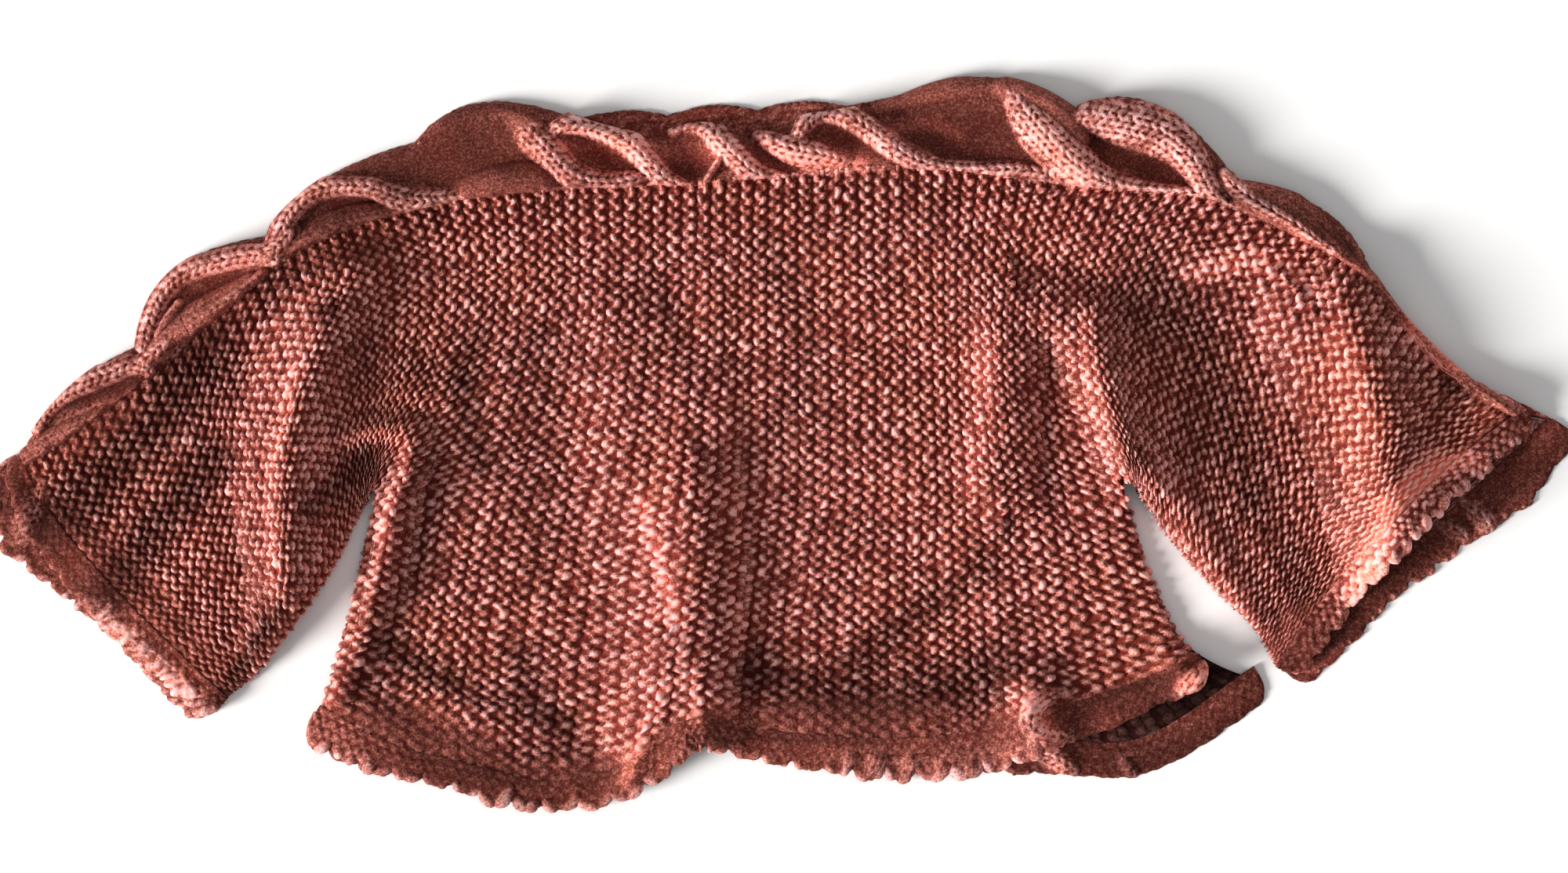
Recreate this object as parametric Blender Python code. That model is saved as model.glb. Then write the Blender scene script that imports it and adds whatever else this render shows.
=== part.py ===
"""A child's cropped sweater, knitted sideways in garter stitch with a rope cable along its top edge and
scalloped edgings, laid flat with its front up. Millimetres in the tables, metres in the mesh. X runs from the
left cuff to the right one, Y from the hem to the neck, Z up from the surface that the sweater lies on."""

import math

import bmesh
import bpy
import numpy as np

MM = 0.001
WALL = 3.0
SEAM_GAP = 0.3
# Middle of the whole outline in the tables' plan: it becomes the origin.
PLAN_CENTRE = (-1.43, 0.75)
FRONT_FLOOR = WALL + SEAM_GAP
EDGE_ROLL = 11.0

LEFT_ARMPIT = 35
RIGHT_ARMPIT = 82
LAST_RIDGE = 117
RIDGE_STEP = 2
SLEEVE_ROWS = 11
BODY_ROWS = 11

SCALLOP_PITCH = 11.4
SCALLOP_DEPTH = 3.6
SCALLOP_POINTS = 4

# Garter ridges of the front from the left cuff on: where each leaves the cable, its middle, and where it
# reaches the underarm edge or, in the body, the line from armpit to armpit.
FRONT_RIDGES = (
    # ridge, cable_x, cable_y, half_x, half_y, arm_x, arm_y
    (0, -290, -9, -264, -46, -213, -96),
    (6, -266, 8, -242, -30, -200, -85),
    (12, -238, 29, -218, -11, -187, -68),
    (18, -216, 49, -197, 6, -173, -47),
    (24, -188, 72, -174, 27, -164, -28),
    (30, -161, 84, -153, 40, -160, -21),
    (35, -135, 91, -132, 42, -157, -17),
    (43, -91, 97, -92, 42, -109, -16),
    (52, -40, 99, -41, 42, -47, -17),
    (59, -1, 102, -1, 43, -1, -15),
    (69, 56, 105, 56, 45, 58, -14),
    (78, 106, 99, 96, 43, 105, -13),
    (82, 128, 97, 115, 43, 129, -14),
    (88, 160, 94, 137, 43, 137, -22),
    (94, 193, 80, 164, 33, 147, -36),
    (101, 222, 62, 191, 10, 163, -54),
    (108, 247, 32, 211, -15, 178, -69),
    (113, 263, 18, 221, -25, 184, -78),
    (117, 276, 11, 228, -31, 187, -84),
)

# The same ridges from the armpit line down to the hem edging.
FRONT_HEM = (
    # ridge, half_x, half_y, hem_x, hem_y
    (35, -166.5, -60, -178, -99),
    (39, -143, -66, -152, -113),
    (43, -120, -69, -125, -120),
    (49, -77, -69, -82, -127),
    (52, -54, -69, -58, -119),
    (55, -34, -69, -38, -104),
    (59, -7, -69, -10, -108),
    (69, 58, -69, 61, -110),
    (75, 95, -68, 96, -101),
    (78, 116, -66, 122, -94),
    (82, 144, -58, 158, -79),
)

# Where the back lies beyond the front: its right cuff and its hem on the right.
BACK_RIDGES = FRONT_RIDGES[:-3] + (
    (108, 249, 31, 221, -17, 178, -69),
    (113, 270, 15, 238, -29, 185, -78),
    (117, 291, 10, 245, -33, 189, -84),
)
BACK_HEM = FRONT_HEM[:8] + (
    (75, 95, -68, 102, -112),
    (78, 116, -66, 134, -112),
    (82, 143.5, -61, 179, -84),
)

# Upper edge of the cable bands as arches: the ridge and the place of the notch where each arch starts, and
# the top of the arch. The last row closes the last arch.
LEFT_ARCHES = (
    # ridge, notch_x, notch_y, top_x, top_y
    (0, -292, -3, -274, 21.5),
    (10.5, -248, 38.5, -234, 67),
    (22, -199.5, 80, -176, 102.5),
    (34, -142, 116, -117, 131.5),
)
FRONT_NECK_ARCHES = (
    (44.5, -80, 125.5, -65, 121),
    (50.5, -48, 118.5, -32, 123),
    (56.5, -14, 118.5, 3, 125),
    (62, 15, 127, 28, 129.5),
)
BACK_NECK_ARCHES = (
    (44.5, -80, 125, -61, 128.5),
    (50.5, -45, 126.5, -27, 130.5),
    (56.5, -11, 128.5, 6, 132),
    (63.5, 24, 130, 35, 132.5),
)
RIGHT_ARCHES = (
    (68.5, 44, 133.5, 79, 141),
    (79.3, 110, 129, 142, 130.5),
    (89, 173, 101, 205, 91),
    (101, 223, 69, 238, 47.5),
    (112.5, 263, 24, 273, 20.5),
    (117, 284, 14, 284, 14),
)
BACK_RIGHT_ARCHES = RIGHT_ARCHES[:-1] + ((117, 290, 12, 290, 12),)

# Crossings of the rope cable: the ridge where the strand on top dives to the garter, how far along the band
# it takes to cross, and how high it stands.
CROSSINGS = (
    # ridge, run, height
    (-1, 6, 4.0),
    (10.5, 6, 6.0),
    (21.5, 6, 6.5),
    (32.5, 7, 6.5),
    (43.5, 6, 8.0),
    (50.5, 5, 7.5),
    (57.5, 5, 7.5),
    (66.5, 6, 7.0),
    (79.0, 6, 8.0),
    (88.5, 5, 6.5),
    (100.0, 6, 4.5),
    (112.0, 6, 2.5),
)

# Folds of the front: a bent crest from start over middle to end, how far its flanks reach to the left and to
# the right of the crest, and its height. A negative height is a trough.
FOLDS = (
    # start_x, start_y, middle_x, middle_y, end_x, end_y, left, right, height
    (-168, 62, -198, 10, -197, -72, 26, 24, 8.0),
    (-250, -10, -245, -35, -225, -70, 24, 22, -1.5),
    (-166, 2, -142, 3, -151, -28, 8, 9, 4.0),
    (-152, -20, -158, -60, -172, -92, 9, 12, 4.5),
    (-110, 10, -112, -30, -120, -80, 40, 40, -2.0),
    (-46, 40, -36, -40, -34, -104, 44, 17, 7.0),
    (-62, -70, -56, -100, -58, -124, 16, 12, 2.5),
    (88, 55, 90, 20, 86, -16, 28, 12, 4.5),
    (104, 50, 122, 18, 131, -10, 12, 22, 6.5),
    (208, 44, 233, 4, 235, -30, 44, 30, 8.0),
    (140, -10, 158, -40, 176, -70, 10, 14, 3.5),
    (96, -88, 90, -106, 102, -124, 12, 12, 4.0),
    (150, -84, 160, -92, 168, -102, 12, 14, 4.5),
    (222, -20, 236, -34, 248, -30, 26, 26, 6.0),
    (-296, -20, -296, -34, -292, -48, 12, 12, 3.0),
)

# Scalloped edgings: node, the line that it is sewn to, the side that it stands out on, on the raised front.
EDGINGS = (
    ("back_hem_edging", "back_hem", 1, False),
    ("front_hem_edging", "front_hem", 1, True),
    ("left_cuff_edging_back", "back_left", 1, False),
    ("left_cuff_edging_front", "front_left", 1, True),
    ("right_cuff_edging_back", "back_right", -1, False),
    ("right_cuff_edging_front", "front_right", -1, True),
)

# Width of each edging up to the feet of its scallops, at equal steps along it.
EDGING_WIDTHS = {
    "back_hem_edging": (14, 8.5, 7.5, 9.5, 8, 11, 11, 11.5, 12),
    "front_hem_edging": (12, 9, 8.5, 10, 9, 12, 14, 12, 8),
    "left_cuff_edging_back": (10, 21, 15, 11, 13, 13),
    "left_cuff_edging_front": (5, 10, 11, 11, 10, 10),
    "right_cuff_edging_back": (11, 17, 12, 8, 10, 11),
    "right_cuff_edging_front": (7, 8, 8, 8, 9, 9),
}

COLOURS = {
    "panel": (0.46, 0.20, 0.17, 1.0),
    "cable": (0.50, 0.23, 0.20, 1.0),
    "edging": (0.52, 0.25, 0.22, 1.0),
}


def clear_scene():
    for thing in list(bpy.data.objects):
        bpy.data.objects.remove(thing, do_unlink=True)


def knit_material(name, colour):
    material = bpy.data.materials.new(name)
    material.use_nodes = True
    surface = material.node_tree.nodes["Principled BSDF"]
    surface.inputs["Base Color"].default_value = colour
    surface.inputs["Roughness"].default_value = 0.95
    surface.inputs["Metallic"].default_value = 0.0
    return material


def run_through(rows, column, at):
    """Smooth line through a table's rows: the value of one column at places along the first."""
    places = np.array([row[0] for row in rows], float)
    values = np.array([row[column] for row in rows], float)
    step = np.diff(places)
    slope = np.diff(values) / step
    turn = np.empty(len(places))
    turn[1:-1] = (slope[:-1] * step[1:] + slope[1:] * step[:-1]) / (step[:-1] + step[1:])
    turn[0], turn[-1] = slope[0], slope[-1]
    part = np.clip(np.searchsorted(places, at) - 1, 0, len(step) - 1)
    t = (at - places[part]) / step[part]
    first = (2 * t**3 - 3 * t**2 + 1) * values[part] + (t**3 - 2 * t**2 + t) * step[part] * turn[part]
    last = (3 * t**2 - 2 * t**3) * values[part + 1] + (t**3 - t**2) * step[part] * turn[part + 1]
    return first + last


def bent(first, middle, last, t):
    """A bow through three values."""
    return first * (1 - t) * (1 - 2 * t) + middle * 4 * t * (1 - t) + last * t * (2 * t - 1)


def arch_points(arches, ridge):
    """Upper edge of a cable band over the given ridges."""
    rows = np.array(arches, float)
    part = np.clip(np.searchsorted(rows[:, 0], ridge, side="right") - 1, 0, len(rows) - 2)
    t = (ridge - rows[part, 0]) / (rows[part + 1, 0] - rows[part, 0])
    return np.stack([bent(rows[part, c], rows[part, c + 2], rows[part + 1, c], t) for c in (1, 2)], -1)


def cloth_point(ridges, hem, ridge, t):
    """Plan position on a panel: t from 0 at the cable to 1 at the arm line and 2 at the hem."""
    ridge, t = np.broadcast_arrays(np.asarray(ridge, float), np.asarray(t, float))
    cable_x, cable_y, half_x, half_y, arm_x, arm_y = (run_through(ridges, c, ridge) for c in range(1, 7))
    upper = np.minimum(t, 1.0)
    x = bent(cable_x, half_x, arm_x, upper)
    y = bent(cable_y, half_y, arm_y, upper)
    body = np.clip(ridge, LEFT_ARMPIT, RIGHT_ARMPIT)
    low_x, low_y, hem_x, hem_y = (run_through(hem, c, body) for c in range(1, 5))
    lower = np.clip(t - 1.0, 0.0, 1.0)
    x = np.where(t > 1, bent(arm_x, low_x, hem_x, lower), x)
    y = np.where(t > 1, bent(arm_y, low_y, hem_y, lower), y)
    return x, y


def rolled_edges():
    """Points along the edges where the front turns under: both underarms and both sides."""
    t = np.linspace(1, 2, 30)
    left = cloth_point(FRONT_RIDGES, FRONT_HEM, np.linspace(0, LEFT_ARMPIT, 50), 1.0)
    right = cloth_point(FRONT_RIDGES, FRONT_HEM, np.linspace(RIGHT_ARMPIT, LAST_RIDGE, 50), 1.0)
    sides = [cloth_point(FRONT_RIDGES, FRONT_HEM, k, t) for k in (LEFT_ARMPIT, RIGHT_ARMPIT)]
    return np.concatenate([np.stack(edge, -1) for edge in (left, right, *sides)])


ROLLED = rolled_edges()


def lift(x, y):
    """How far the front is raised off the back by its folds, in millimetres."""
    x, y = np.asarray(x, float), np.asarray(y, float)
    along = np.linspace(0, 1, 33)
    height = np.zeros(x.shape)
    for x0, y0, x1, y1, x2, y2, left, right, rise in FOLDS:
        crest_x, crest_y = bent(x0, x1, x2, along), bent(y0, y1, y2, along)
        away = np.hypot(x[..., None] - crest_x, y[..., None] - crest_y)
        nearest = away.argmin(-1)
        flow_x, flow_y = np.gradient(crest_x)[nearest], np.gradient(crest_y)[nearest]
        side = (x - crest_x[nearest]) * -flow_y + (y - crest_y[nearest]) * flow_x
        reach = np.where(side > 0, right, left)
        share = np.clip(away.min(-1) / reach, 0, 1)
        height = height + rise * 0.5 * (1 + np.cos(np.pi * share))
    to_edge = np.hypot(x[..., None] - ROLLED[:, 0], y[..., None] - ROLLED[:, 1]).min(-1)
    roll = np.clip(to_edge / EDGE_ROLL, 0, 1)
    roll = np.sqrt(1 - (1 - roll) ** 2)
    return np.maximum(height + 0.8, 0) * roll


def strand_height(ridge, across):
    """Relief of the two-strand rope over its band: across runs from 0 at the garter to 1 at the top edge."""
    relief = np.zeros(np.broadcast(ridge, across).shape)
    for (start, _, _), (cross, run, height) in zip(CROSSINGS, CROSSINGS[1:]):
        along = (ridge - start) / (cross - start)
        inside = (along > -0.15) & (along < 1.35)
        rising = np.clip(along / 0.38, 0, 1)
        rising = rising * rising * (3 - 2 * rising)
        falling = np.clip((ridge - (cross - run * 0.55)) / run, 0, 1)
        falling = falling * falling * (3 - 2 * falling)
        centre = 0.30 + 0.46 * rising - 0.56 * falling
        tall = height * (0.55 + 0.45 * np.exp(-(((ridge - cross + run * 0.2) / (run * 0.7)) ** 2)))
        fade = np.clip((along + 0.15) / 0.3, 0, 1) * np.clip((1.35 - along) / 0.3, 0, 1)
        round_off = np.clip(1 - ((across - centre) / 0.33) ** 2, 0, 1)
        relief = np.maximum(relief, np.where(inside, tall * fade * np.sqrt(round_off), 0))
        low = (along > 0.0) & (along < 1.0)
        lower_round = np.clip(1 - ((across - 0.26) / 0.26) ** 2, 0, 1)
        lower = 0.62 * height * np.clip(np.sin(np.pi * np.clip(along, 0, 1)), 0, 1) ** 0.5
        relief = np.maximum(relief, np.where(low, lower * np.sqrt(lower_round), 0))
    return relief


def placed(point):
    return (point[0] - PLAN_CENTRE[0]) * MM, (point[1] - PLAN_CENTRE[1]) * MM, point[2] * MM


def closed_wall(name, top, bottom, material):
    """One closed wall from a top and a bottom sheet of points. A point that is None leaves its cells out."""
    mesh = bmesh.new()
    rows, columns = len(top), len(top[0])
    layers = []
    for sheet in (top, bottom):
        layers.append([[None if p is None else mesh.verts.new(placed(p)) for p in row] for row in sheet])
    upper, lower = layers
    faces = {}
    for r in range(rows - 1):
        for c in range(columns - 1):
            cell = ((r, c), (r, c + 1), (r + 1, c + 1), (r + 1, c))
            if any(upper[i][j] is None for i, j in cell):
                continue
            mesh.faces.new([upper[i][j] for i, j in reversed(cell)])
            mesh.faces.new([lower[i][j] for i, j in cell])
            for a, b in zip(cell, cell[1:] + cell[:1]):
                if (b, a) in faces:
                    del faces[(b, a)]
                else:
                    faces[(a, b)] = True
    for a, b in faces:
        mesh.faces.new([upper[a[0]][a[1]], upper[b[0]][b[1]], lower[b[0]][b[1]], lower[a[0]][a[1]]])
    loose = [v for v in mesh.verts if not v.link_faces]
    bmesh.ops.delete(mesh, geom=loose, context="VERTS")
    bmesh.ops.triangulate(mesh, faces=mesh.faces)
    bmesh.ops.recalc_face_normals(mesh, faces=mesh.faces)
    data = bpy.data.meshes.new(name)
    mesh.to_mesh(data)
    mesh.free()
    data.materials.append(material)
    data.shade_smooth()
    data.set_sharp_from_angle(angle=math.radians(40))
    piece = bpy.data.objects.new(name, data)
    bpy.context.collection.objects.link(piece)
    return piece


def ridge_stations(step):
    """Ridges at which a panel has a column of points, with both armpits among them."""
    spans = ((0, LEFT_ARMPIT), (LEFT_ARMPIT, RIGHT_ARMPIT), (RIGHT_ARMPIT, LAST_RIDGE))
    stations = []
    for start, end in spans:
        stations.extend(np.linspace(start, end, max(2, round((end - start) / step) + 1))[:-1])
    return np.array(stations + [LAST_RIDGE])


def panel(name, ridges, hem, step, sleeve_rows, body_rows, raised, material):
    """A T-shaped garter panel: sleeves and body from the cable to the arm line, body only below it."""
    stations = ridge_stations(step)
    tees = np.concatenate([np.linspace(0, 1, sleeve_rows + 1), np.linspace(1, 2, body_rows + 1)[1:]])
    x, y = cloth_point(ridges, hem, stations[None, :], tees[:, None])
    floor = FRONT_FLOOR + lift(x, y) if raised else np.zeros(x.shape)
    body = (stations >= LEFT_ARMPIT - 0.01) & (stations <= RIGHT_ARMPIT + 0.01)
    sheets = []
    for rise in (WALL, 0.0):
        sheets.append(
            [
                [
                    (x[r, c], y[r, c], floor[r, c] + rise) if tees[r] <= 1 or body[c] else None
                    for c in range(len(stations))
                ]
                for r in range(len(tees))
            ]
        )
    return closed_wall(name, sheets[0], sheets[1], material)


def on_columns(stations, points, at):
    """Plan points on the straight lines between a panel's columns."""
    return np.stack([np.interp(at, stations, points[i]) for i in (0, 1)], -1)


def cable_band(name, ridges, arches, step, rows, panel_step, raised, rope, material):
    """A band from the panel's top edge to the garment's upper edge, with the rope raised on its outer points."""
    stations = ridge_stations(panel_step)
    seam = cloth_point(ridges, FRONT_HEM, stations, 0.0)
    places = np.unique(np.concatenate([stations, np.arange(0, LAST_RIDGE, step)]))
    places = places[np.concatenate([[True], np.diff(places) > 0.35])]
    places[-1] = LAST_RIDGE
    low = on_columns(stations, seam, places)
    high = arch_points(arches, places)
    width = np.hypot(*(high - low).T)
    flow = np.gradient(low, axis=0)
    outward = np.stack([-flow[:, 1], flow[:, 0]], -1) / np.hypot(*flow.T)[:, None]
    ends = [0, -1]
    outward[ends] = (high - low)[ends] / width[ends][:, None]
    low = low + outward * SEAM_GAP
    across = np.linspace(0, 1, rows + 1)
    plan = low[None] + (high - low)[None] * across[:, None, None]
    raise_low = lift(*on_columns(stations, seam, places).T) if raised else np.zeros(len(places))
    ease = 1 - across[:, None] ** 2
    floor = (FRONT_FLOOR if raised else 0.0) + raise_low[None] * ease
    relief = strand_height(places[None], across[:, None]) if rope else 0 * floor
    fit = np.clip(width / 24.0, 0.25, 1)[None]
    top = floor + WALL + relief * fit
    sheets = [
        [[(*plan[r, c], height[r, c]) for c in range(len(places))] for r in range(rows + 1)]
        for height in (top, floor)
    ]
    return closed_wall(name, sheets[0], sheets[1], material)


def edging(name, seam, width, outward, raised, material):
    """A scalloped edging sewn along a seam line of plan points: width beyond the seam, then the scallops."""
    seam = np.asarray(seam, float)
    length = np.concatenate([[0], np.cumsum(np.hypot(*np.diff(seam, axis=0).T))])
    count = max(3, round(length[-1] / SCALLOP_PITCH))
    marks = np.unique(np.concatenate([length, np.linspace(0, length[-1], count * SCALLOP_POINTS + 1)]))
    marks = marks[np.concatenate([[True], np.diff(marks) > 0.8])]
    marks[-1] = length[-1]
    inner = np.stack([np.interp(marks, length, seam[:, i]) for i in (0, 1)], -1)
    smooth = np.stack([np.convolve(np.pad(inner[:, i], 6, mode="reflect", reflect_type="odd"),
                                   np.ones(13) / 13, "valid") for i in (0, 1)], -1)
    flow = np.gradient(smooth, axis=0)
    flow /= np.hypot(*flow.T)[:, None]
    away = np.stack([flow[:, 1], -flow[:, 0]], -1) * outward
    bump = np.abs(np.sin(np.pi * marks / length[-1] * count)) ** 0.6
    wide = np.interp(marks / length[-1], np.linspace(0, 1, len(width)), width)
    start = inner + away * SEAM_GAP
    rim = inner + away * (wide + SCALLOP_DEPTH * bump)[:, None]
    plan = np.stack([start, start + (rim - start) * 0.6, rim])
    floor = FRONT_FLOOR + lift(plan[..., 0], plan[..., 1]) if raised else np.zeros(plan.shape[:2])
    sheets = [
        [[(*plan[r, c], floor[r, c] + rise) for c in range(len(marks))] for r in range(3)]
        for rise in (WALL, 0.0)
    ]
    return closed_wall(name, sheets[0], sheets[1], material)


def hem_line(ridges, hem, step):
    stations = ridge_stations(step)
    body = stations[(stations >= LEFT_ARMPIT - 0.01) & (stations <= RIGHT_ARMPIT + 0.01)]
    return np.stack(cloth_point(ridges, hem, body, 2.0), -1)


def cuff_line(ridges, arches, ridge, rows):
    """A cuff's edge from the end of the cable down to the underarm."""
    garter = np.stack(cloth_point(ridges, FRONT_HEM, ridge, np.linspace(0, 1, rows + 1)), -1)
    return np.concatenate([arch_points(arches, np.array([ridge], float)), garter])


def main():
    clear_scene()
    garter = knit_material("rose_garter", COLOURS["panel"])
    cable = knit_material("rose_cable", COLOURS["cable"])
    picot = knit_material("rose_picot", COLOURS["edging"])
    front_arches = LEFT_ARCHES + FRONT_NECK_ARCHES + RIGHT_ARCHES
    back_arches = LEFT_ARCHES + BACK_NECK_ARCHES + BACK_RIGHT_ARCHES
    back_step = 3.0
    back_rows = 7
    panel("back_panel", BACK_RIDGES, BACK_HEM, back_step, back_rows, back_rows, False, garter)
    panel("front_panel", FRONT_RIDGES, FRONT_HEM, RIDGE_STEP, SLEEVE_ROWS, BODY_ROWS, True, garter)
    cable_band("back_cable_band", BACK_RIDGES, back_arches, 2.0, 2, back_step, False, False, cable)
    cable_band("front_cable_band", FRONT_RIDGES, front_arches, 1.0, 7, RIDGE_STEP, True, True, cable)
    lines = {
        "back_hem": hem_line(BACK_RIDGES, BACK_HEM, back_step),
        "front_hem": hem_line(FRONT_RIDGES, FRONT_HEM, RIDGE_STEP),
        "back_left": cuff_line(BACK_RIDGES, back_arches, 0, back_rows),
        "front_left": cuff_line(FRONT_RIDGES, front_arches, 0, SLEEVE_ROWS),
        "back_right": cuff_line(BACK_RIDGES, back_arches, LAST_RIDGE, back_rows),
        "front_right": cuff_line(FRONT_RIDGES, front_arches, LAST_RIDGE, SLEEVE_ROWS),
    }
    for name, line, outward, raised in EDGINGS:
        edging(name, lines[line], EDGING_WIDTHS[name], outward, raised, picot)


main()
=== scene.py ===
"""Looks of a child's cropped sweater, knitted sideways in garter stitch with a rope cable and scalloped
edgings, laid flat with its front up. Tables are in millimetres, meshes and properties in metres."""

import math
from functools import partial

import bmesh
import bpy
import numpy as np
from bpy.props import FloatProperty, FloatVectorProperty, IntProperty, PointerProperty
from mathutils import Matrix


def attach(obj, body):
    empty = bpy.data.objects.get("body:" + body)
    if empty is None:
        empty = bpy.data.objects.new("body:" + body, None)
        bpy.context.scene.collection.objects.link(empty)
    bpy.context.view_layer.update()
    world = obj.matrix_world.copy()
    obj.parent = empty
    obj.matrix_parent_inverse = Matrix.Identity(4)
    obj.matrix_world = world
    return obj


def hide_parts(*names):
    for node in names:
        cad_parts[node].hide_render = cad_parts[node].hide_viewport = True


bl_info = {
    "name": "Cropped Cable Sweater",
    "version": (1, 0, 0),
    "blender": (4, 5, 0),
    "location": "View3D > Sidebar > Sweater",
    "description": "Builds the knitted look of a cropped sweater on its fixed frame",
    "category": "Object",
}

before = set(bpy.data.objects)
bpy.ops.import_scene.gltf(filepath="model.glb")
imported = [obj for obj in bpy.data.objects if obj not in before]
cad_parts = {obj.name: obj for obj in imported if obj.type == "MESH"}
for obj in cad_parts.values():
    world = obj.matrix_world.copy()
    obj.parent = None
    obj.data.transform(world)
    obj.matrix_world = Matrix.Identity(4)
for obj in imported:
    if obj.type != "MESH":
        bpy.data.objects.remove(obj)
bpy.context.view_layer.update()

MM = 0.001
# Middle of the plan, and the lowest place that a point may have on it.
PLAN_CENTRE = (-1.43, 0.75, 0.0)
LOWEST = (-1e4, -1e4, 0.02)
FRONT_FLOOR = 3.3

# Garter ridges at both armpits and at the right cuff, and stitches along a ridge.
LEFT_ARMPIT = 35
RIGHT_ARMPIT = 82
LAST_RIDGE = 117
SLEEVE_STITCHES = 25.0
BODY_STITCHES = 23
STITCH_PITCH = 4.65
RIDGE_PITCH = 5.8
KNIT_ROW = 3.3
CURL_STITCH = 4.6
SCALLOP_PITCH = 11.4
SCALLOP_DEPTH = 3.6
# Height of the front cloth's middle surface over its floor, and what of its relief follows the surface.
SURFACE = 2.2
TALLEST = 1.6
# The folds stand a little higher in the cloth than in the plain solids.
FOLD_LOFT = 1.45
# How far from an underarm or a side the front starts to turn down, and the radius of its turn.
EDGE_ROLL = 11.0
SIDE_TURN = 5.2
# How far the front's first stitches reach under the cable.
CABLE_TUCK = 0.018
FIRST_STITCH = -0.42
# Where the right hem's shade falls on the back.
UNDER_HEM = (155, -92, 90, 40, 20)
# The wool's colours, each a setting in the panel, which run from painted shade in the gaps to a painted
# highlight on the stitch tops, and the lightest that it may be.
WOOL_COLOURS = ("Gap", "Shade", "Body", "Crest", "Warm")
LIGHTEST = 0.88

# Garter ridges of the front from the left cuff on: where each leaves the cable, its middle, and where it
# reaches the underarm edge or, in the body, the line from armpit to armpit.
FRONT_RIDGES = (
    # ridge, cable_x, cable_y, half_x, half_y, arm_x, arm_y
    (0, -290, -9, -264, -46, -213, -96),
    (6, -266, 8, -242, -30, -200, -85),
    (12, -238, 29, -218, -11, -187, -68),
    (18, -216, 49, -197, 6, -173, -47),
    (24, -188, 72, -174, 27, -164, -28),
    (30, -161, 84, -153, 40, -160, -21),
    (35, -135, 91, -132, 42, -157, -17),
    (43, -91, 97, -92, 42, -109, -16),
    (52, -40, 99, -41, 42, -47, -17),
    (59, -1, 102, -1, 43, -1, -15),
    (69, 56, 105, 56, 45, 58, -14),
    (78, 106, 99, 96, 43, 105, -13),
    (82, 128, 97, 115, 43, 129, -14),
    (88, 160, 94, 137, 43, 137, -22),
    (94, 193, 80, 164, 33, 147, -36),
    (101, 222, 62, 191, 10, 163, -54),
    (108, 247, 32, 211, -15, 178, -69),
    (113, 263, 18, 221, -25, 184, -78),
    (117, 276, 11, 228, -31, 187, -84),
)

# The same ridges from the armpit line down to the hem edging.
FRONT_HEM = (
    # ridge, half_x, half_y, hem_x, hem_y
    (35, -166.5, -60, -178, -99),
    (39, -143, -66, -152, -113),
    (43, -120, -69, -125, -120),
    (49, -77, -69, -82, -127),
    (52, -54, -69, -58, -119),
    (55, -34, -69, -38, -104),
    (59, -7, -69, -10, -108),
    (69, 58, -69, 61, -110),
    (75, 95, -68, 96, -101),
    (78, 116, -66, 122, -94),
    (82, 144, -58, 158, -79),
)

# Where the back lies beyond the front: its right cuff and its hem on the right.
BACK_RIDGES = FRONT_RIDGES[:-3] + (
    (108, 249, 31, 221, -17, 178, -69),
    (113, 270, 15, 238, -29, 185, -78),
    (117, 291, 10, 245, -33, 189, -84),
)
BACK_HEM = FRONT_HEM[:8] + (
    (75, 95, -68, 102, -112),
    (78, 116, -66, 134, -112),
    (82, 143.5, -61, 179, -84),
)

# Upper edge of the cable bands as arches: the ridge and the place of the notch where each arch starts, and
# the top of the arch. The last row closes the last arch.
LEFT_ARCHES = (
    # ridge, notch_x, notch_y, top_x, top_y
    (0, -292, -3, -274, 21.5),
    (10.5, -248, 38.5, -234, 67),
    (22, -199.5, 80, -176, 102.5),
    (34, -142, 116, -117, 131.5),
)
FRONT_NECK_ARCHES = (
    (44.5, -80, 125.5, -65, 121),
    (50.5, -48, 118.5, -32, 123),
    (56.5, -14, 118.5, 3, 125),
    (62, 15, 127, 28, 129.5),
)
BACK_NECK_ARCHES = (
    (44.5, -80, 125, -61, 128.5),
    (50.5, -45, 126.5, -27, 130.5),
    (56.5, -11, 128.5, 6, 132),
    (63.5, 24, 130, 35, 132.5),
)
RIGHT_ARCHES = (
    (68.5, 44, 133.5, 79, 141),
    (79.3, 110, 129, 142, 130.5),
    (89, 173, 101, 205, 91),
    (101, 223, 69, 238, 47.5),
    (112.5, 263, 24, 273, 20.5),
    (117, 284, 14, 284, 14),
)
BACK_RIGHT_ARCHES = RIGHT_ARCHES[:-1] + ((117, 290, 12, 290, 12),)

# Folds of the front: a bent crest from start over middle to end, how far its flanks reach to the left and to
# the right of the crest, and its height. A negative height is a trough.
FOLDS = (
    # start_x, start_y, middle_x, middle_y, end_x, end_y, left, right, height
    (-168, 62, -191, 10, -194, -72, 22, 24, 8.4),
    (-250, -10, -245, -35, -225, -70, 24, 22, -1.5),
    (-166, 2, -142, 3, -151, -28, 8, 9, 4.0),
    (-152, -20, -158, -60, -172, -92, 9, 12, 4.5),
    (-110, 10, -112, -30, -120, -80, 40, 40, -2.0),
    (-46, 40, -37, -40, -36, -104, 44, 30, 6.5),
    (-46, -78, -54, -102, -62, -126, 14, 12, 4.0),
    (88, 55, 90, 20, 86, -16, 28, 16, 4.2),
    (104, 50, 122, 18, 131, -10, 15, 22, 6.2),
    (208, 44, 233, 4, 235, -30, 44, 30, 8.0),
    (140, -10, 158, -40, 176, -70, 10, 14, 3.5),
    (96, -88, 90, -106, 102, -124, 15, 14, 3.4),
    (150, -84, 160, -92, 168, -102, 15, 15, 3.6),
    (222, -20, 236, -34, 248, -30, 26, 26, 3.4),
    (-296, -20, -296, -34, -292, -48, 12, 12, 3.0),
)

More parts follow.
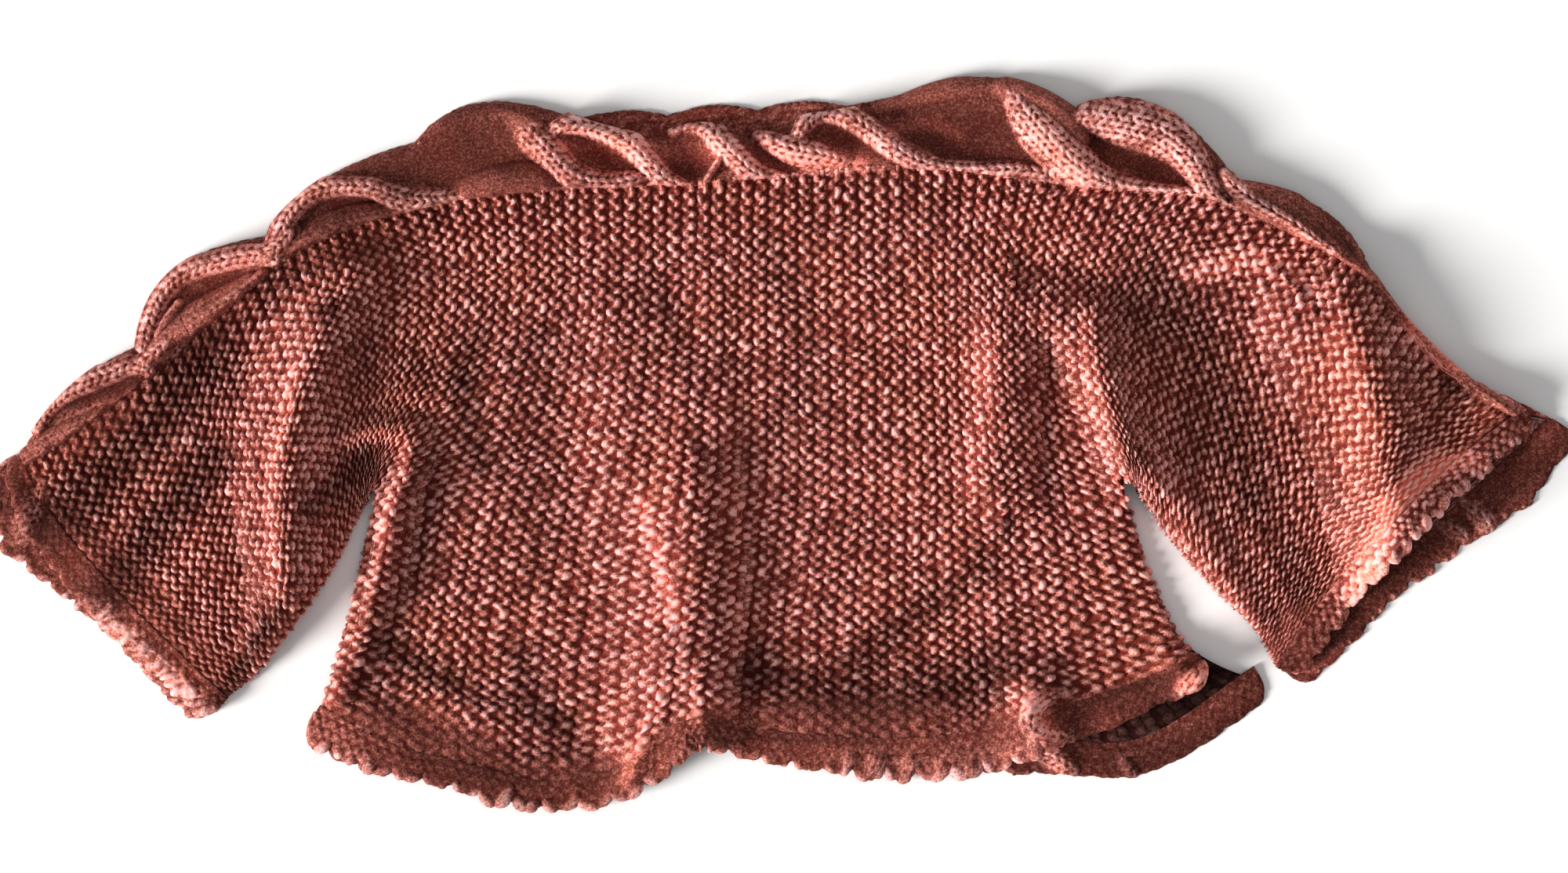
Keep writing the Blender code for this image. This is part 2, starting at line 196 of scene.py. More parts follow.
# Sharper flanks on the same folds, where the light catches them, in the same columns.
CREASES = (
    (-174, 44, -187, -4, -187, -62, 12, 22, 5.0),
    (-226, 30, -222, -14, -206, -58, 24, 12, -3.5),
    (-150, 34, -142, 22, -128, 20, 12, 12, 2.0),
    (-38, 24, -34, -44, -38, -112, 18, 20, 2.4),
    (-14, 0, -10, -40, -14, -96, 12, 22, -2.0),
    (80, 42, 82, 16, 76, -12, 14, 13, 2.6),
    (100, 36, 102, 10, 106, -16, 11, 10, -2.2),
    (118, 50, 124, 14, 136, -20, 10, 14, 4.0),
    (214, 62, 226, 6, 230, -52, 18, 22, 5.5),
    (176, 50, 190, 0, 206, -40, 24, 14, -3.0),
    (86, -86, 92, -100, 102, -122, 11, 11, 1.8),
    (148, -80, 156, -88, 166, -98, 10, 10, 1.5),
    (-148, -2, -146, -20, -156, -60, 10, 11, 2.0),
    (-44, 54, -40, 32, -38, 6, 30, 18, -4.5),
    (268, 18, 262, -10, 254, -36, 24, 24, 4.5),
)

# Scalloped edgings: the line that each is sewn to, its outer side, whether it is on the raised front, its
# width up to its scallops' feet at equal steps, and how it is worked: the share of the way along it, the size
# of its lumps, how ribbed its outer half is, how bright it is, as painted light and shade, and how clearly
# its stitches show.
EDGINGS = {
    "back_hem_edging": ("back_hem", 1, False, (14, 8.5, 7.5, 9.5, 8, 11, 11, 11.5, 12), (
        (0, 0.5, 0, 0.55, 0.2), (0.72, 0.4, 0, 0.52, 0.2), (0.8, 0.15, 0, 0.42, 0.1), (1, 0.1, 0, 0.4, 0.1),
    )),
    "front_hem_edging": ("front_hem", 1, True, (12, 9, 8.5, 10, 9, 12, 14, 12, 8), (
        (0, 0.8, 0.3, 1, 0.4), (0.07, 0.7, 0.2, 0.95, 0.3), (0.14, 0.5, 0, 0.58, 0.1),
        (0.2, 0.9, 0, 0.6, 0.1), (0.33, 0.8, 0, 0.7, 0.1), (0.4, 0.5, 0.2, 0.75, 0.3),
        (0.55, 0.5, 0, 0.6, 0.1), (0.66, 0.8, 0.3, 0.8, 0.2), (0.78, 0.8, 0.3, 0.85, 0.2),
        (0.86, 0.15, 0, 0.52, 0.1), (0.95, 0.1, 0, 0.52, 0.1), (1, 0.3, 0.2, 0.7, 0.2),
    )),
    "left_cuff_edging_back": ("back_left", 1, False, (10, 21, 15, 11, 13, 13), (
        (0, 0.6, 0, 0.7, 0.2), (0.45, 0.6, 0, 0.75, 0.2), (0.6, 0.4, 0.5, 0.9, 0.2), (1, 0.4, 0.6, 1, 0.2),
    )),
    "left_cuff_edging_front": ("front_left", 1, True, (5, 10, 11, 11, 10, 10), (
        (0, 0.2, 0, 0.7, 0.1), (0.42, 0.4, 0, 0.66, 0.1), (0.56, 0.3, 0.8, 0.95, 0.2),
        (0.8, 0.25, 1.1, 1.15, 0.3), (1, 0.4, 1.1, 1.2, 0.3),
    )),
    "right_cuff_edging_back": ("back_right", -1, False, (11, 17, 12, 8, 10, 11), (
        (0, 0.2, 0, 0.48, 0.1), (0.5, 0.5, 0.1, 0.5, 0.1), (0.75, 0.3, 0, 0.42, 0.1), (1, 0.2, 0, 0.42, 0.1),
    )),
    "right_cuff_edging_front": ("front_right", -1, True, (7, 8, 8, 8, 9, 9), (
        (0, 0.5, 0, 0.6, 0.3), (0.2, 0.7, 0.2, 0.9, 0.8), (0.4, 0.7, 0.3, 1.05, 1), (0.7, 0.7, 0.3, 1.05, 1),
        (0.85, 0.4, 0.1, 0.75, 0.4), (1, 0.2, 0, 0.48, 0.1),
    )),
}

# Curls, rolls and single picots of the edgings: the cloth that each lies on, how bright it is, as painted
# light and shade, how clearly its stitches show, and each point's x, y, half width and height over the cloth
# in tenths of a millimetre.
CURLS = (
    ("both", 1, 0.9, (1062, -933, 21, 8, 1014, -945, 30, 30, 963, -972, 39, 42, 930, -1017, 42, 48,
     936, -1068, 42, 46, 984, -1101, 36, 40, 1050, -1110, 27, 24, 1092, -1116, 21, 8)),
    ("both", 1, 0.9, (930, -1125, 27, 8, 966, -1161, 42, 30, 1020, -1188, 45, 38, 1074, -1218, 39, 28,
     1110, -1245, 24, 8)),
    ("both", 0.92, 0.9, (1476, -1047, 24, 8, 1503, -1002, 48, 32, 1539, -945, 60, 42, 1578, -891, 60, 44,
     1617, -849, 48, 32, 1650, -822, 24, 8)),
    ("front", 1, 0.6, (248, -1155, 26, 6, 243, -1188, 35, 22, 234, -1216, 30, 14)),
    ("front", 1, 0.6, (362, -1155, 30, 6, 348, -1194, 42, 26, 330, -1233, 34, 16)),
    ("front", 1, 0.6, (456, -1173, 28, 6, 474, -1209, 40, 26, 456, -1245, 32, 16)),
    ("front", 0.95, 0.6, (576, -1200, 26, 6, 597, -1233, 34, 22, 590, -1260, 28, 14)),
    ("front", 0.95, 0.6, (684, -1194, 26, 6, 705, -1227, 34, 22, 692, -1254, 28, 14)),
    ("both", 0.88, 0.75, (-2835, -135, 18, 10, -2853, -195, 33, 22, -2880, -255, 54, 26, -2910, -315, 60, 18,
     -2934, -360, 42, 6)),
    ("back", 1.1, 0.7, (2592, -213, 24, 8, 2634, -243, 42, 28, 2673, -285, 45, 34, 2694, -339, 33, 18)),
    ("back", 1.05, 0.7, (2490, -297, 24, 8, 2538, -309, 36, 26, 2583, -333, 33, 22, 2610, -369, 21, 8)),
    ("back", 1.05, 0.6, (1278, -1191, 21, 6, 1308, -1227, 30, 24, 1332, -1263, 27, 14)),
)

# Painted light and shade: where the wool is painted lighter or darker than its own colour, standing in for
# the light on its folds and the shade in its hollows. Each row is a bent line from start over middle to end,
# how far it reaches to the left and to the right, and by how much, as a natural logarithm.
PAINTED_LIGHT_AND_SHADE = (
    (-274, -26, -248, 1, -219, 33, 20, 20, -1.1), (-257, -55, -239, -29, -219, -5, 15, 15, -1),
    (-236, 27, -192, 62, -134, 89, 12, 14, -0.45), (-184, 31, -196, -14, -190, -60, 8, 7, 0.45),
    (-175, 51, -160, 33, -131, 24, 15, 18, -0.2), (-180, -23, -169, -14, -160, -5, 9, 9, -0.8),
    (-176, 0, -147, 1, -155, -31, 5, 5, 0.6), (-156, -31, -162, -64, -176, -102, 5, 5, 0.3),
    (-144, -5, -137, -23, -139, -49, 12, 12, -0.35), (-213, -64, -214, -75, -222, -90, 9, 8, -0.25),
    (-192, -61, -204, -78, -216, -96, 6, 6, -1.1), (-163, -87, -137, -111, -96, -122, 16, 14, -0.65),
    (-101, -81, -90, -105, -72, -125, 13, 13, -0.7), (-289, -11, -265, -52, -230, -93, 7, 7, 0.3),
    (-40, 17, -52, -52, -65, -125, 15, 7, 0.15), (-28, 13, -17, -40, -25, -96, 6, 13, 0.3),
    (-8, -87, 33, -96, 80, -87, 20, 20, -1.1), (-107, 83, -66, 83, -19, 83, 18, 18, 0.05),
    (-96, 36, -98, -5, -96, -46, 20, 20, -0.35), (-119, 39, -122, 18, -116, -5, 11, 11, -0.8),
    (-8, 77, 4, 42, 1, 13, 15, 15, -0.3), (-154, -64, -142, -81, -125, -87, 14, 14, -0.5),
    (77, 45, 74, 18, 70, -11, 11, 8, 0.3), (99, 39, 100, 13, 102, -23, 9, 7, -0.15),
    (111, 54, 118, 15, 130, -20, 8, 8, 0.3), (136, 65, 159, 33, 177, -11, 23, 21, -0.75),
    (145, -11, 156, -31, 174, -58, 9, 9, 0.35), (194, 71, 215, 13, 221, -55, 18, 15, 0.2),
    (241, 45, 262, 27, 288, 10, 13, 13, 1.1), (168, 100, 197, 83, 227, 45, 7, 7, -0.05),
    (189, -64, 197, -78, 209, -81, 13, 13, 0.15), (288, 1, 268, -17, 241, -31, 8, 8, 0.4),
    (247, -5, 230, -26, 218, -55, 9, 9, 0.95), (89, -93, 98, -105, 104, -122, 9, 9, 1.1),
    (121, -105, 145, -108, 168, -96, 9, 9, 0.5), (151, -90, 159, -87, 165, -84, 6, 6, 1.1),
    (74, 95, 110, 77, 145, 71, 18, 18, 0.15), (180, -23, 192, -40, 197, -58, 12, 12, -0.5),
    (-125, 127, -116, 115, -107, 106, 13, 13, -0.3), (-84, 115, -37, 112, 28, 109, 9, 9, 0.9),
    (-230, 59, -219, 65, -201, 74, 7, 7, 0.55), (-183, 83, -166, 89, -148, 95, 8, 8, -0.7),
    (168, 95, 192, 89, 215, 74, 6, 6, -0.8), (98, 121, 104, 112, 112, 103, 8, 8, 0.85),
    (-60, -128, -8, -116, 63, -122, 7, 7, 0.25), (36, 117, 51, 123, 66, 119, 5, 5, 0.7),
    (-248, 30, -227, 45, -204, 55, 4, 4, 0.6), (-189, 65, -175, 71, -148, 77, 5, 5, -0.1),
    (74, 109, 92, 105, 104, 97, 5, 5, -0.2), (168, 102, 186, 92, 197, 77, 5, 5, 0.4),
    (28, -5, 51, -29, 74, -58, 14, 14, 0.25), (-45, -90, -53, -108, -61, -127, 6, 6, 1.1),
    (28, -81, 51, -64, 74, -46, 12, 12, -0.75), (-25, 100, -8, 89, 16, 83, 11, 11, -0.1),
    (-230, -17, -213, -34, -201, -58, 8, 8, -0.3), (-277, -23, -254, -46, -230, -70, 6, 6, -0.35),
    (-154, -75, -125, -93, -84, -105, 9, 9, -0.55), (-25, -111, 28, -111, 80, -105, 5, 5, -0.2),
    (98, -87, 121, -93, 151, -87, 5, 5, -0.4), (197, -87, 215, -78, 230, -67, 5, 5, 0.9),
    (227, -23, 244, -11, 262, -5, 7, 7, 1.1), (230, -64, 250, -46, 285, -17, 5, 5, 0.65),
    (253, 24, 271, 17, 285, 10, 7, 7, -1.1), (133, -23, 145, -40, 162, -64, 6, 6, -1.1),
    (-107, 54, -84, 36, -55, 30, 13, 13, -0.15), (-55, -23, -43, -64, -34, -105, 6, 6, 1),
    (28, 54, 51, 36, 74, 30, 14, 14, 0.15), (156, 65, 180, 71, 197, 59, 9, 9, 0.9),
    (186, 36, 197, 7, 209, -23, 7, 7, -0.4),
)

# Strands of the rope cable from the left cuff to the right one, the lower one of a crossing first: how bright
# each is, as painted light and shade, how clearly its stitches show, and its points in the curls' way.
STRANDS = (
    (1, 1, (-2856, 63, 27, 30, -2826, 129, 36, 40, -2778, 183, 42, 55, -2715, 225, 45, 65,
     -2640, 255, 45, 70, -2565, 282, 42, 70, -2496, 312, 42, 65, -2442, 303, 33, 50, -2406, 255, 24, 25)),
    (0.85, 0.3, (-2940, -69, 30, 20, -2871, -33, 48, 30, -2775, 21, 60, 36, -2655, 72, 63, 39,
     -2550, 123, 57, 36, -2451, 207, 39, 30)),
    (1, 0.8, (-2496, 297, 27, 45, -2454, 321, 39, 60, -2406, 357, 42, 60, -2364, 399, 33, 50)),
    (1, 1, (-2454, 369, 30, 40, -2430, 462, 42, 55, -2391, 561, 45, 65, -2328, 636, 45, 70,
     -2244, 681, 45, 75, -2148, 708, 45, 75, -2052, 726, 45, 75, -1971, 723, 42, 65, -1914, 693, 30, 40)),
    (0.85, 0.3, (-2430, 342, 39, 45, -2361, 423, 57, 46, -2256, 483, 66, 44, -2136, 552, 60, 42,
     -2031, 627, 42, 40)),
    (1.05, 0.3, (-2397, 423, 18, 50, -2361, 483, 24, 58, -2313, 549, 18, 50)),
    (1, 0.5, (-2220, 495, 18, 50, -2151, 543, 27, 56, -2070, 597, 27, 56, -1992, 660, 24, 50)),
    (1, 0.8, (-2040, 705, 30, 50, -1986, 729, 45, 68, -1932, 765, 48, 70, -1884, 813, 42, 60)),
    (1, 1, (-1968, 729, 33, 40, -1932, 807, 45, 60, -1887, 891, 51, 70, -1830, 951, 48, 75,
     -1752, 984, 42, 75, -1656, 993, 39, 75, -1572, 984, 42, 70, -1506, 957, 48, 66, -1434, 933, 57, 62,
     -1350, 927, 60, 60, -1260, 933, 54, 50, -1188, 945, 36, 35)),
    (0.75, 0.25, (-1920, 687, 36, 40, -1836, 771, 60, 46, -1740, 819, 72, 44, -1626, 852, 75, 40,
     -1530, 867, 60, 34, -1476, 879, 36, 30)),
    (0.62, 0.2, (-1326, 921, 36, 24, -1236, 945, 66, 46, -1146, 975, 78, 64, -1056, 999, 81, 74,
     -966, 1008, 75, 72, -900, 993, 54, 56, -858, 969, 27, 24)),
    (0.85, 0.05, (-1062, 1269, 27, 3, -1020, 1239, 45, 16, -978, 1203, 57, 30, -948, 1149, 57, 40,
     -924, 1095, 42, 38)),
    (1, 0.9, (-1014, 1233, 42, 16, -984, 1200, 60, 40, -930, 1146, 66, 64, -876, 1089, 66, 76,
     -834, 1044, 63, 76, -780, 1014, 60, 70, -714, 999, 57, 60, -642, 1002, 51, 50, -570, 1020, 36, 38,
     -522, 1041, 21, 20)),
    (1.12, 1, (-900, 1179, 27, 25, -876, 1209, 33, 50, -834, 1227, 42, 62, -756, 1227, 51, 68,
     -660, 1194, 54, 72, -582, 1143, 54, 72, -519, 1077, 48, 70, -462, 1023, 39, 62, -402, 993, 33, 50,
     -330, 978, 24, 35)),
    (1.25, 0.5, (-321, 978, 11, 40, -297, 1023, 13, 60, -267, 1071, 13, 65, -240, 1113, 11, 60)),
    (1.12, 1, (-432, 1203, 24, 45, -366, 1227, 33, 58, -300, 1215, 45, 70, -246, 1158, 54, 76,
     -186, 1098, 54, 74, -126, 1044, 48, 66, -54, 1011, 48, 50, 24, 993, 42, 36, 102, 993, 30, 16)),
    (1.1, 1, (-108, 1191, 24, 15, -81, 1173, 33, 45, -42, 1155, 45, 60, 24, 1131, 57, 64, 96, 1119, 54, 58,
     162, 1107, 33, 40, 216, 1089, 21, 30)),
    (1.12, 1, (30, 1149, 27, 25, 51, 1191, 33, 55, 84, 1242, 39, 68, 138, 1272, 42, 74, 210, 1266, 45, 78,
     288, 1227, 48, 78, 366, 1170, 48, 74, 444, 1119, 45, 68, 522, 1080, 42, 60, 612, 1056, 39, 50,
     744, 1050, 39, 44, 882, 1056, 33, 40, 984, 1041, 21, 30)),
    (0.7, 0.15, (330, 1239, 21, 40, 390, 1191, 27, 46, 468, 1140, 27, 46, 558, 1101, 21, 36)),
    (0.75, 0.1, (348, 1287, 27, 15, 444, 1326, 39, 22, 564, 1356, 42, 24, 678, 1377, 42, 20,
     768, 1383, 36, 8)),
    (0.8, 0.05, (780, 1383, 30, 6, 858, 1368, 60, 24, 936, 1341, 81, 44, 1008, 1296, 81, 56,
     1074, 1236, 66, 60, 1122, 1170, 42, 52)),
    (1.18, 0.95, (852, 1365, 27, 20, 885, 1311, 54, 46, 930, 1251, 78, 72, 987, 1185, 93, 88,
     1050, 1119, 96, 92, 1122, 1059, 87, 86, 1200, 1011, 69, 74, 1290, 981, 54, 59, 1392, 969, 42, 48,
     1506, 966, 30, 40, 1572, 966, 24, 35)),
    (1.1, 1, (1092, 1251, 24, 50, 1146, 1257, 54, 64, 1236, 1245, 84, 76, 1338, 1224, 96, 84,
     1434, 1191, 93, 86, 1512, 1134, 78, 86, 1566, 1065, 63, 82, 1602, 993, 54, 74, 1656, 930, 45, 60,
     1746, 867, 36, 48, 1866, 801, 30, 42, 1986, 735, 27, 38, 2100, 666, 24, 32)),
    (0.78, 0.3, (1662, 999, 36, 45, 1740, 963, 72, 56, 1848, 924, 90, 54, 1962, 849, 90, 48,
     2058, 762, 72, 42, 2136, 681, 48, 34, 2208, 621, 27, 25)),
    (1.1, 0.95, (1668, 1041, 24, 52, 1698, 999, 42, 68, 1752, 957, 48, 72, 1830, 909, 45, 68,
     1914, 861, 39, 62, 1998, 807, 33, 54, 2088, 741, 24, 44)),
    (0.85, 0.4, (2214, 651, 27, 25, 2364, 507, 30, 30, 2514, 357, 30, 30, 2694, 177, 27, 28,
     2844, 102, 24, 25)),
)

# Hollows between the strands: x, y, reach along, reach across, turn in degrees, depth and darkness, the
# darkness being painted shade.
HOLLOWS = (
    (-260, 21.5, 17, 2.6, 20, 1.4, 0.95),
    (-215, 63.5, 14, 4, 22, 1.4, 0.8),
    (-163, 91, 18, 5.5, -8, 1.4, 0.7),
    (-125, 110.5, 20, 12, -14, 1.6, 0.65),
    (-71, 112, 11, 4.4, -24, 2, 0.95),
    (-37, 108.5, 9.5, 8, -20, 1.8, 0.8),
    (-6, 110.5, 9, 3.6, -32, 1.8, 0.9),
    (26, 117, 12, 4.6, -20, 1.8, 0.85),
    (70, 119, 26, 13, 6, 1.6, 0.7),
    (115, 116.5, 10, 5.5, -40, 1.8, 0.9),
    (143, 106.5, 13, 5.2, -12, 1.8, 0.9),
    (205, 76, 26, 6, -40, 0.8, 0.45),
)

# Patches of the garter where the wool is felted and its stitches hardly show: x, y, reach along, reach
# across, turn in degrees and how felted.
FELTED = (
    (-262, 7, 20, 5, 38, 0.7),
    (-222, 42, 17, 6, 38, 0.65),
    (-164, 77, 20, 6, 20, 0.65),
    (-136, -114, 30, 13, -20, 0.95),
    (-79, -127, 16, 7, -5, 0.8),
    (18, -105, 50, 9, 2, 0.85),
    (140, -94, 28, 8, 20, 0.9),
    (-245, -54, 48, 5, -46, 0.6),
    (197, -70, 12, 9, 40, 0.85),
    (276, 4, 14, 7, -40, 0.7),
)


def spot(x, y, row):
    """How near a place is to the middle of a turned oval, from 0 far away to 1."""
    angle = math.radians(row[4])
    dx, dy = x - row[0], y - row[1]
    along = (dx * math.cos(angle) + dy * math.sin(angle)) / row[2]
    across = (dy * math.cos(angle) - dx * math.sin(angle)) / row[3]
    return np.exp(-along**2 - across**2)


def run_through(rows, column, at):
    """Smooth line through a table's rows: the value of one column at places along the first."""
    places = np.array([row[0] for row in rows], float)
    values = np.array([row[column] for row in rows], float)
    step = np.diff(places)
    slope = np.diff(values) / step
    turn = np.empty(len(places))
    turn[1:-1] = (slope[:-1] * step[1:] + slope[1:] * step[:-1]) / (step[:-1] + step[1:])
    turn[0], turn[-1] = slope[0], slope[-1]
    part = np.clip(np.searchsorted(places, at) - 1, 0, len(step) - 1)
    t = (at - places[part]) / step[part]
    first = (2 * t**3 - 3 * t**2 + 1) * values[part] + (t**3 - 2 * t**2 + t) * step[part] * turn[part]
    last = (3 * t**2 - 2 * t**3) * values[part + 1] + (t**3 - t**2) * step[part] * turn[part + 1]
    return first + last


def bent(first, middle, last, t):
    """A bow through three values."""
    return first * (1 - t) * (1 - 2 * t) + middle * 4 * t * (1 - t) + last * t * (2 * t - 1)


def unit(share):
    """A share kept between 0 and 1."""
    return np.clip(share, 0, 1)


def eased(share):
    """A share that starts and ends softly."""
    share = unit(share)
    return share * share * (3 - 2 * share)


def hashed(*keys):
    """Repeatable random share from 0 to 1 for whole-number keys."""
    mixed = 0.0
    for key, factor in zip(keys, (12.9898, 78.233, 37.719, 53.117)):
        mixed = mixed + np.asarray(key, float) * factor
    return np.modf(np.abs(np.sin(mixed) * 43758.5453))[0]


def drift(x, y, size, seed):
    """Slow random change over the plan, from -1 to 1, in patches of the given size."""
    along, up = np.asarray(x, float) / size, np.asarray(y, float) / size
    i, j = np.floor(along), np.floor(up)
    fx, fy = eased(along - i), eased(up - j)
    low = hashed(i, j, seed) * (1 - fx) + hashed(i + 1, j, seed) * fx
    high = hashed(i, j + 1, seed) * (1 - fx) + hashed(i + 1, j + 1, seed) * fx
    return 2 * (low * (1 - fy) + high * fy) - 1


def fuzz_of(x, y, fine, coarse, seed):
    """Random change in two sizes at once, as the wool's fibres make it."""
    return 0.5 * drift(x, y, fine, seed) + 0.5 * drift(x, y, coarse, seed + 1)


def length_along(points):
    """Length from a line's first point to each of its points."""
    return np.concatenate([[0], np.cumsum(np.hypot(*np.diff(points, axis=0).T))])


def arch_points(arches, ridge):
    """Upper edge of a cable band over the given ridges."""
    rows = np.array(arches, float)
    part = np.clip(np.searchsorted(rows[:, 0], ridge, side="right") - 1, 0, len(rows) - 2)
    t = (ridge - rows[part, 0]) / (rows[part + 1, 0] - rows[part, 0])
    return np.stack([bent(rows[part, c], rows[part, c + 2], rows[part + 1, c], t) for c in (1, 2)], -1)


def cloth_point(ridges, hem, ridge, t):
    """Plan position on a panel: t from 0 at the cable to 1 at the arm line and 2 at the hem."""
    ridge, t = np.broadcast_arrays(np.asarray(ridge, float), np.asarray(t, float))
    cable_x, cable_y, half_x, half_y, arm_x, arm_y = (run_through(ridges, c, ridge) for c in range(1, 7))
    body = np.clip(ridge, LEFT_ARMPIT, RIGHT_ARMPIT)
    low_x, low_y, hem_x, hem_y = (run_through(hem, c, body) for c in range(1, 5))
    upper, lower = np.minimum(t, 1.0), unit(t - 1.0)
    x = np.where(t > 1, bent(arm_x, low_x, hem_x, lower), bent(cable_x, half_x, arm_x, upper))
    y = np.where(t > 1, bent(arm_y, low_y, hem_y, lower), bent(cable_y, half_y, arm_y, upper))
    return x, y


def rolled_edges():
    """Points along the edges where the front turns under: both underarms and both sides."""
    arms = ((np.linspace(0, LEFT_ARMPIT, 50), 1.0), (np.linspace(RIGHT_ARMPIT, LAST_RIDGE, 50), 1.0))
    sides = ((LEFT_ARMPIT, np.linspace(1, 2, 30)), (RIGHT_ARMPIT, np.linspace(1, 2, 30)))
    edges = [cloth_point(FRONT_RIDGES, FRONT_HEM, *edge) for edge in arms + sides]
    return np.concatenate([np.stack(edge, -1) for edge in edges])


ROLLED = rolled_edges()


def swept(x, y, rows, samples):
    """Sum of soft ridges along bent lines, each with its own reach to the left and right and its height."""
    x, y = np.asarray(x, float), np.asarray(y, float)
    along = np.linspace(0, 1, samples)
    total = np.zeros(x.shape)
    for x0, y0, x1, y1, x2, y2, left, right, height in rows:
        line_x, line_y = bent(x0, x1, x2, along), bent(y0, y1, y2, along)
        reach = max(left, right)
        near = (x > line_x.min() - reach) & (x < line_x.max() + reach)
        near &= (y > line_y.min() - reach) & (y < line_y.max() + reach)
        px, py = x[near], y[near]
        away = np.hypot(px[:, None] - line_x, py[:, None] - line_y)
        k = away.argmin(-1)
        flow_x, flow_y = np.gradient(line_x)[k], np.gradient(line_y)[k]
        side = (px - line_x[k]) * -flow_y + (py - line_y[k]) * flow_x
        share = unit(away.min(-1) / np.where(side > 0, right, left))
        total[near] += height * 0.5 * (1 + np.cos(np.pi * share))
    return total


def lift(x, y):
    """How far the front is raised off the back by its folds, in millimetres."""
    height = swept(x, y, FOLDS + CREASES, 33)
    to_edge = np.hypot(x[..., None] - ROLLED[:, 0], y[..., None] - ROLLED[:, 1]).min(-1)
    roll = unit(to_edge / EDGE_ROLL)
    roll = np.sqrt(1 - (1 - roll) ** 2)
    slack = 0.7 * drift(x, y, 23.0, 3) + 0.35 * drift(x, y, 9.0, 5)
    return np.maximum(height * FOLD_LOFT + 0.8 + slack, 0) * roll


def painted_light(x, y):
    """Painted light and shade of the wool at a place, as a factor."""
    return np.exp(swept(x, y, PAINTED_LIGHT_AND_SHADE, 25))


def floor_under(x, y, front):
    """Height of the surface that a layer of cloth lies on."""
    return FRONT_FLOOR + lift(x, y) if front else np.zeros(x.shape)


def tucked(distance, radius, easing=20.0):
    """Turns a strip down at its edge: a place counted from the edge becomes a plan distance and a drop."""
    arc = distance + radius * (math.pi / 2 - 1) * np.minimum(distance / easing, 1)
    turn = np.clip(arc / np.maximum(radius, 1e-6), 0, math.pi / 2)
    inside = arc < radius * math.pi / 2
    plan = np.where(inside, radius * (1 - np.cos(turn)), radius + arc - radius * math.pi / 2)
    return plan, np.where(inside, radius * (1 - np.sin(turn)), 0.0)


def with_level(place, level):
    """Plan points with their heights."""
    return np.concatenate([place, level[..., None]], -1)


def raised(points, height, most, straight=1.0):
    """Lifts a sheet's points along their normals, and what is taller than most straight up."""
    normal = np.cross(np.gradient(points, axis=1), np.gradient(points, axis=0))
    normal = normal / np.maximum(np.linalg.norm(normal, axis=-1, keepdims=True), 1e-9)
    lifted = points + normal * np.minimum(height, most)[..., None]
    lifted[..., 2] += np.maximum(height - most, 0) * straight
    return lifted


def sheet_of(name, points, material, patterns, uv=None, keep=None):
    """A mesh grid whose points are laid on a sheet of points, rows from below and columns from the left."""
    rows, columns = points.shape[:2]
    mesh = bmesh.new()
    bmesh.ops.create_grid(mesh, x_segments=columns - 1, y_segments=rows - 1, size=1.0)

    def place_of(vertex):
        return round((vertex.co.y + 1) / 2 * (rows - 1)), round((vertex.co.x + 1) / 2 * (columns - 1))

    if keep is not None:
        bmesh.ops.delete(mesh, geom=[v for v in mesh.verts if not keep[place_of(v)]], context="VERTS")
    data = bpy.data.meshes.new(name)
    mesh.to_mesh(data)
    mesh.free()
    flat = np.empty(len(data.vertices) * 3, np.float32)
    data.vertices.foreach_get("co", flat)
    flat = flat.reshape(-1, 3).astype(float)
    column = np.rint((flat[:, 0] + 1) / 2 * (columns - 1)).astype(int)
    row = np.rint((flat[:, 1] + 1) / 2 * (rows - 1)).astype(int)
    placed = (np.maximum(points[row, column], LOWEST) - PLAN_CENTRE) * MM
    data.vertices.foreach_set("co", placed.astype(np.float32).ravel())
    for label, values in patterns.items():
        layer = data.attributes.new(label, "FLOAT", "POINT")
        layer.data.foreach_set("value", values[row, column].astype(np.float32))
    spread = data.uv_layers.new(name="OFBake" if uv is None else "Knit")
    if uv is None:
        across, up = (np.arange(columns)[None] + 0.5) / columns, (np.arange(rows)[:, None] + 0.5) / rows
        uv = np.stack(np.broadcast_arrays(across, up), -1)
    corner = np.empty(len(data.loops), np.int32)
    data.loops.foreach_get("vertex_index", corner)
    spread.data.foreach_set("uv", uv[row[corner], column[corner]].astype(np.float32).ravel())
    data.materials.append(material)
    data.shade_smooth()
    data.update()
    piece = bpy.data.objects.new(name, data)
    bpy.context.collection.objects.link(piece)
    return piece


def knitted(name, points, rise, share, tone, light, painted_gap_light, material):
    """Knitting in relief with its patterns. Where the painted light is strong, its gaps take lighter colours
    as well, as painted light.
    """
    rise = unit(rise + painted_gap_light * unit(light - 1.1))
    return sheet_of(name, points, material, {"rise": rise, "share": share, "tone": unit(tone),
                                             "painted_light": light})


def ground(name, points, light, uv, thickness, material, keep=None):
    """The ground under a piece's stitches, as a closed shell, with its knit coordinates as a map."""
    piece = sheet_of(name, points, material, {"painted_light": light}, uv, keep)
    solid = piece.modifiers.new("Thickness", "SOLIDIFY")
    solid.thickness = thickness * MM
    solid.offset = -1.0
    solid.use_even_offset = False
    return piece


def length_table(places, low, high):
    """Lengths along the front's garter ridges between two values of t, at 160 steps."""
    tees = np.linspace(low, high, 161)
    x, y = cloth_point(FRONT_RIDGES, FRONT_HEM, places[None], tees[:, None])
    steps = np.hypot(np.diff(x, axis=0), np.diff(y, axis=0))
    return tees, np.concatenate([np.zeros((1, len(places))), np.cumsum(steps, 0)])


def at_lengths(tees, lengths, marks):
    """Values of t at the given lengths along each ridge."""
    return np.stack([np.interp(mark, length, tees) for mark, length in zip(marks.T, lengths.T)], 1)


